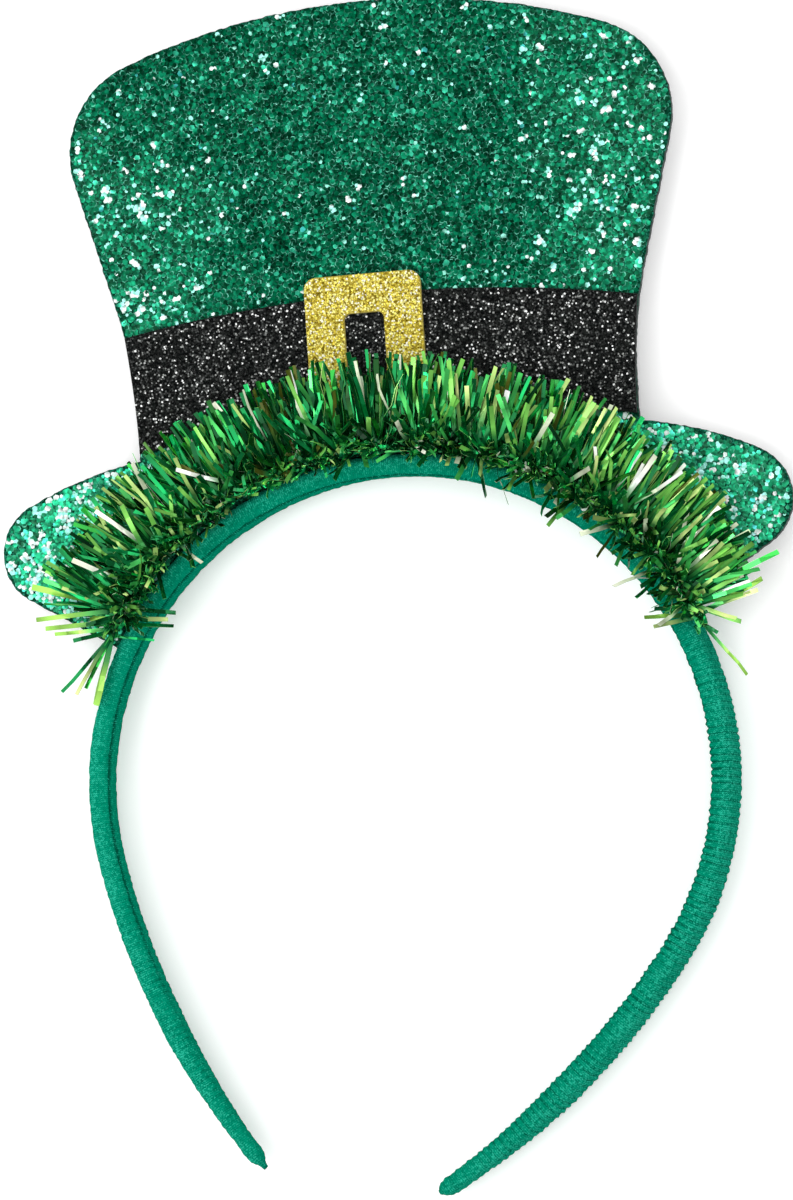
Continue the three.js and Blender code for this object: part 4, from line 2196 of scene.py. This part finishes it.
        # Painted shade: the lime side stays base green at the root, deep in the fringe, and reaches its tone
        # towards the tip
        front = base + (tip - base)[:, None] * ramp(along, self.tip_from, self.tip_span)[None, :, None]
        leafy = rng.uniform(0, 1, (count, 1)) < self.leaf_share
        back = np.where(leafy, np.array(self.leaf), np.array(self.emerald))
        back = back * (self.back_least + self.back_span * rng.uniform(0, 1, (count, 1)) ** self.back_power)
        tints = np.where(upper[None, :, None], front, back[:, None])
        # Painted reflections vary along each strip; painted shade darkens it towards the core
        glance = rng.uniform(*self.glance, (count, self.parts + 1))[:, self.stations(motif)]
        fade = (self.root_shade + (1 - self.root_shade) * smooth(along / self.root_reach)) * glance
        return tints * fade[:, :, None], np.where(upper, shine[:, None], self.green_gloss)

    def core(self) -> bpy.types.Object:
        """Builds the thread that the strips are twisted into.

        Returns:
            The piece.
        """
        shape = bmesh.new()
        bmesh.ops.create_circle(shape, cap_ends=True, segments=self.thread_sides, radius=self.thread)
        upright = Matrix.Rotation(math.pi / 2, 4, "Y")
        start = Matrix.Rotation(-math.radians(self.first), 4, "Z")
        place = start @ Matrix.Translation((0, self.core_radius, self.core_height)) @ upright
        bmesh.ops.transform(shape, matrix=place, verts=shape.verts[:])
        span = math.radians(self.last - self.first)
        bmesh.ops.spin(
            shape, geom=shape.faces[:], cent=(0, 0, 0), axis=(0, 0, 1), angle=-span, steps=self.thread_parts
        )
        bmesh.ops.recalc_face_normals(shape, faces=shape.faces[:])
        bmesh.ops.transform(shape, matrix=HAT_PLACE, verts=shape.verts[:])
        piece = show("tinsel_core", to_mesh("tinsel_core", shape), self.core_felt.material())
        return hand_over(piece, Slot.FOIL)

    def build(self) -> Pieces:
        """Builds the strips and the core thread.

        Returns:
            The pieces.
        """
        rng = np.random.default_rng(self.seed)
        motif = Motif.strip(self.parts)
        groups = [(self.standing(rule, rng), rule) for rule in self.sets]
        groups.append((self.hanging(self.drops, rng), self.drops))
        made = []
        for strips, rule in groups:
            lime = rule.lime * self.share(self.lime_chart, self.turns(strips.root))
            made.append(self.laid(motif, strips, rule, lime, rng))
        lime = np.array([end.lime for end in self.loose_ends])
        made.append(self.laid(motif, self.charted(), self.ends, lime, rng))
        mesh = motif.joined("tinsel_strips", *(np.concatenate(part) for part in zip(*made)))
        mesh.transform(HAT_PLACE)
        piece = show("tinsel_strips", mesh, self.foil.material())
        return [hand_over(piece, Slot.FOIL, "tinsel_garland"), self.core()]


@dataclass(frozen=True)
class LampRing:
    """Square lamps in a ring, aimed at the object: angles in degrees, sizes in metres, power in watts."""

    count: int
    first: float
    elevation: float
    distance: float
    size: float
    power: float


@dataclass
class Studio:
    """The pale floor, soft light and the camera at the photograph's angle."""

    target: Place = (-10.1 * MM, -29.9 * MM, 0.0)
    roll: float = math.radians(8.73)
    yaw: float = math.radians(10)
    pitch: float = math.radians(4)
    distance: float = 1.2
    lens: float = 168.7
    sensor: float = 36.0
    nearest: float = 0.01
    floor_half: float = 4.0
    floor_parts: int = 8
    world: float = 0.25
    finish: FloorFinish = FloorFinish()
    rings: tuple[LampRing, ...] = (
        LampRing(count=5, first=12, elevation=42, distance=1.35, size=0.80, power=3.7),
        LampRing(count=4, first=40, elevation=70, distance=1.45, size=0.60, power=2.3),
        LampRing(count=1, first=205, elevation=58, distance=1.40, size=0.60, power=4.2),
    )

    def camera(self) -> None:
        """Places the camera."""
        data = bpy.data.cameras.new("camera")
        data.lens = self.lens
        data.sensor_width = self.sensor
        data.sensor_fit = "AUTO"
        data.clip_start = self.nearest
        camera = bpy.data.objects.new("camera", data)
        turn = Matrix.Rotation(self.roll, 4, "Z") @ Matrix.Rotation(self.yaw, 4, "Y")
        turn = turn @ Matrix.Rotation(self.pitch, 4, "X")
        reach = Matrix.Translation((0, 0, self.distance))
        camera.matrix_world = Matrix.Translation(self.target) @ turn @ reach
        bpy.context.scene.collection.objects.link(camera)
        bpy.context.scene.camera = camera

    def floor(self) -> None:
        """Lays the floor."""
        shape = bmesh.new()
        parts = self.floor_parts
        bmesh.ops.create_grid(shape, x_segments=parts, y_segments=parts, size=self.floor_half)
        show("floor", to_mesh("floor", shape), self.finish.material())

    def hang(self, ring: LampRing, index: int) -> None:
        """Hangs one lamp of a ring.

        Args:
            ring: The ring.
            index: Which of its lamps it is.
        """
        data = bpy.data.lights.new("softbox", "AREA")
        data.shape = "SQUARE"
        data.size = ring.size
        data.energy = ring.power
        lamp = bpy.data.objects.new(data.name, data)
        around = Matrix.Rotation(math.radians(ring.first + 360 * index / ring.count), 4, "Z")
        tip = Matrix.Rotation(math.radians(90 - ring.elevation), 4, "Y")
        reach = Matrix.Translation((0, 0, ring.distance))
        lamp.matrix_world = Matrix.Translation(self.target) @ around @ tip @ reach
        bpy.context.scene.collection.objects.link(lamp)

    def light(self) -> None:
        """Hangs the lamps and sets the dim surroundings."""
        for ring in self.rings:
            for index in range(ring.count):
                self.hang(ring, index)
        world = bpy.data.worlds.new("surroundings")
        world.use_nodes = True
        world.node_tree.nodes["Background"].inputs["Color"].default_value = (*(self.world,) * 3, 1.0)
        bpy.context.scene.world = world
        bpy.context.scene.view_settings.view_transform = "Standard"

    def build(self) -> None:
        """Sets up the whole studio."""
        self.camera()
        self.floor()
        self.light()


def main() -> None:
    """Builds the studio and each sub-assembly in order, and reports each piece."""
    logging.basicConfig(level=logging.INFO, format="%(name)s: %(message)s")
    Studio().build()
    for assembly in (Headband(), HatPanel(), HatBand(), Buckle(), TinselGarland()):
        for piece in assembly.build():
            LOG.info("%s has %d faces", piece.name, len(piece.data.polygons))


if __name__ == "__main__":
    main()
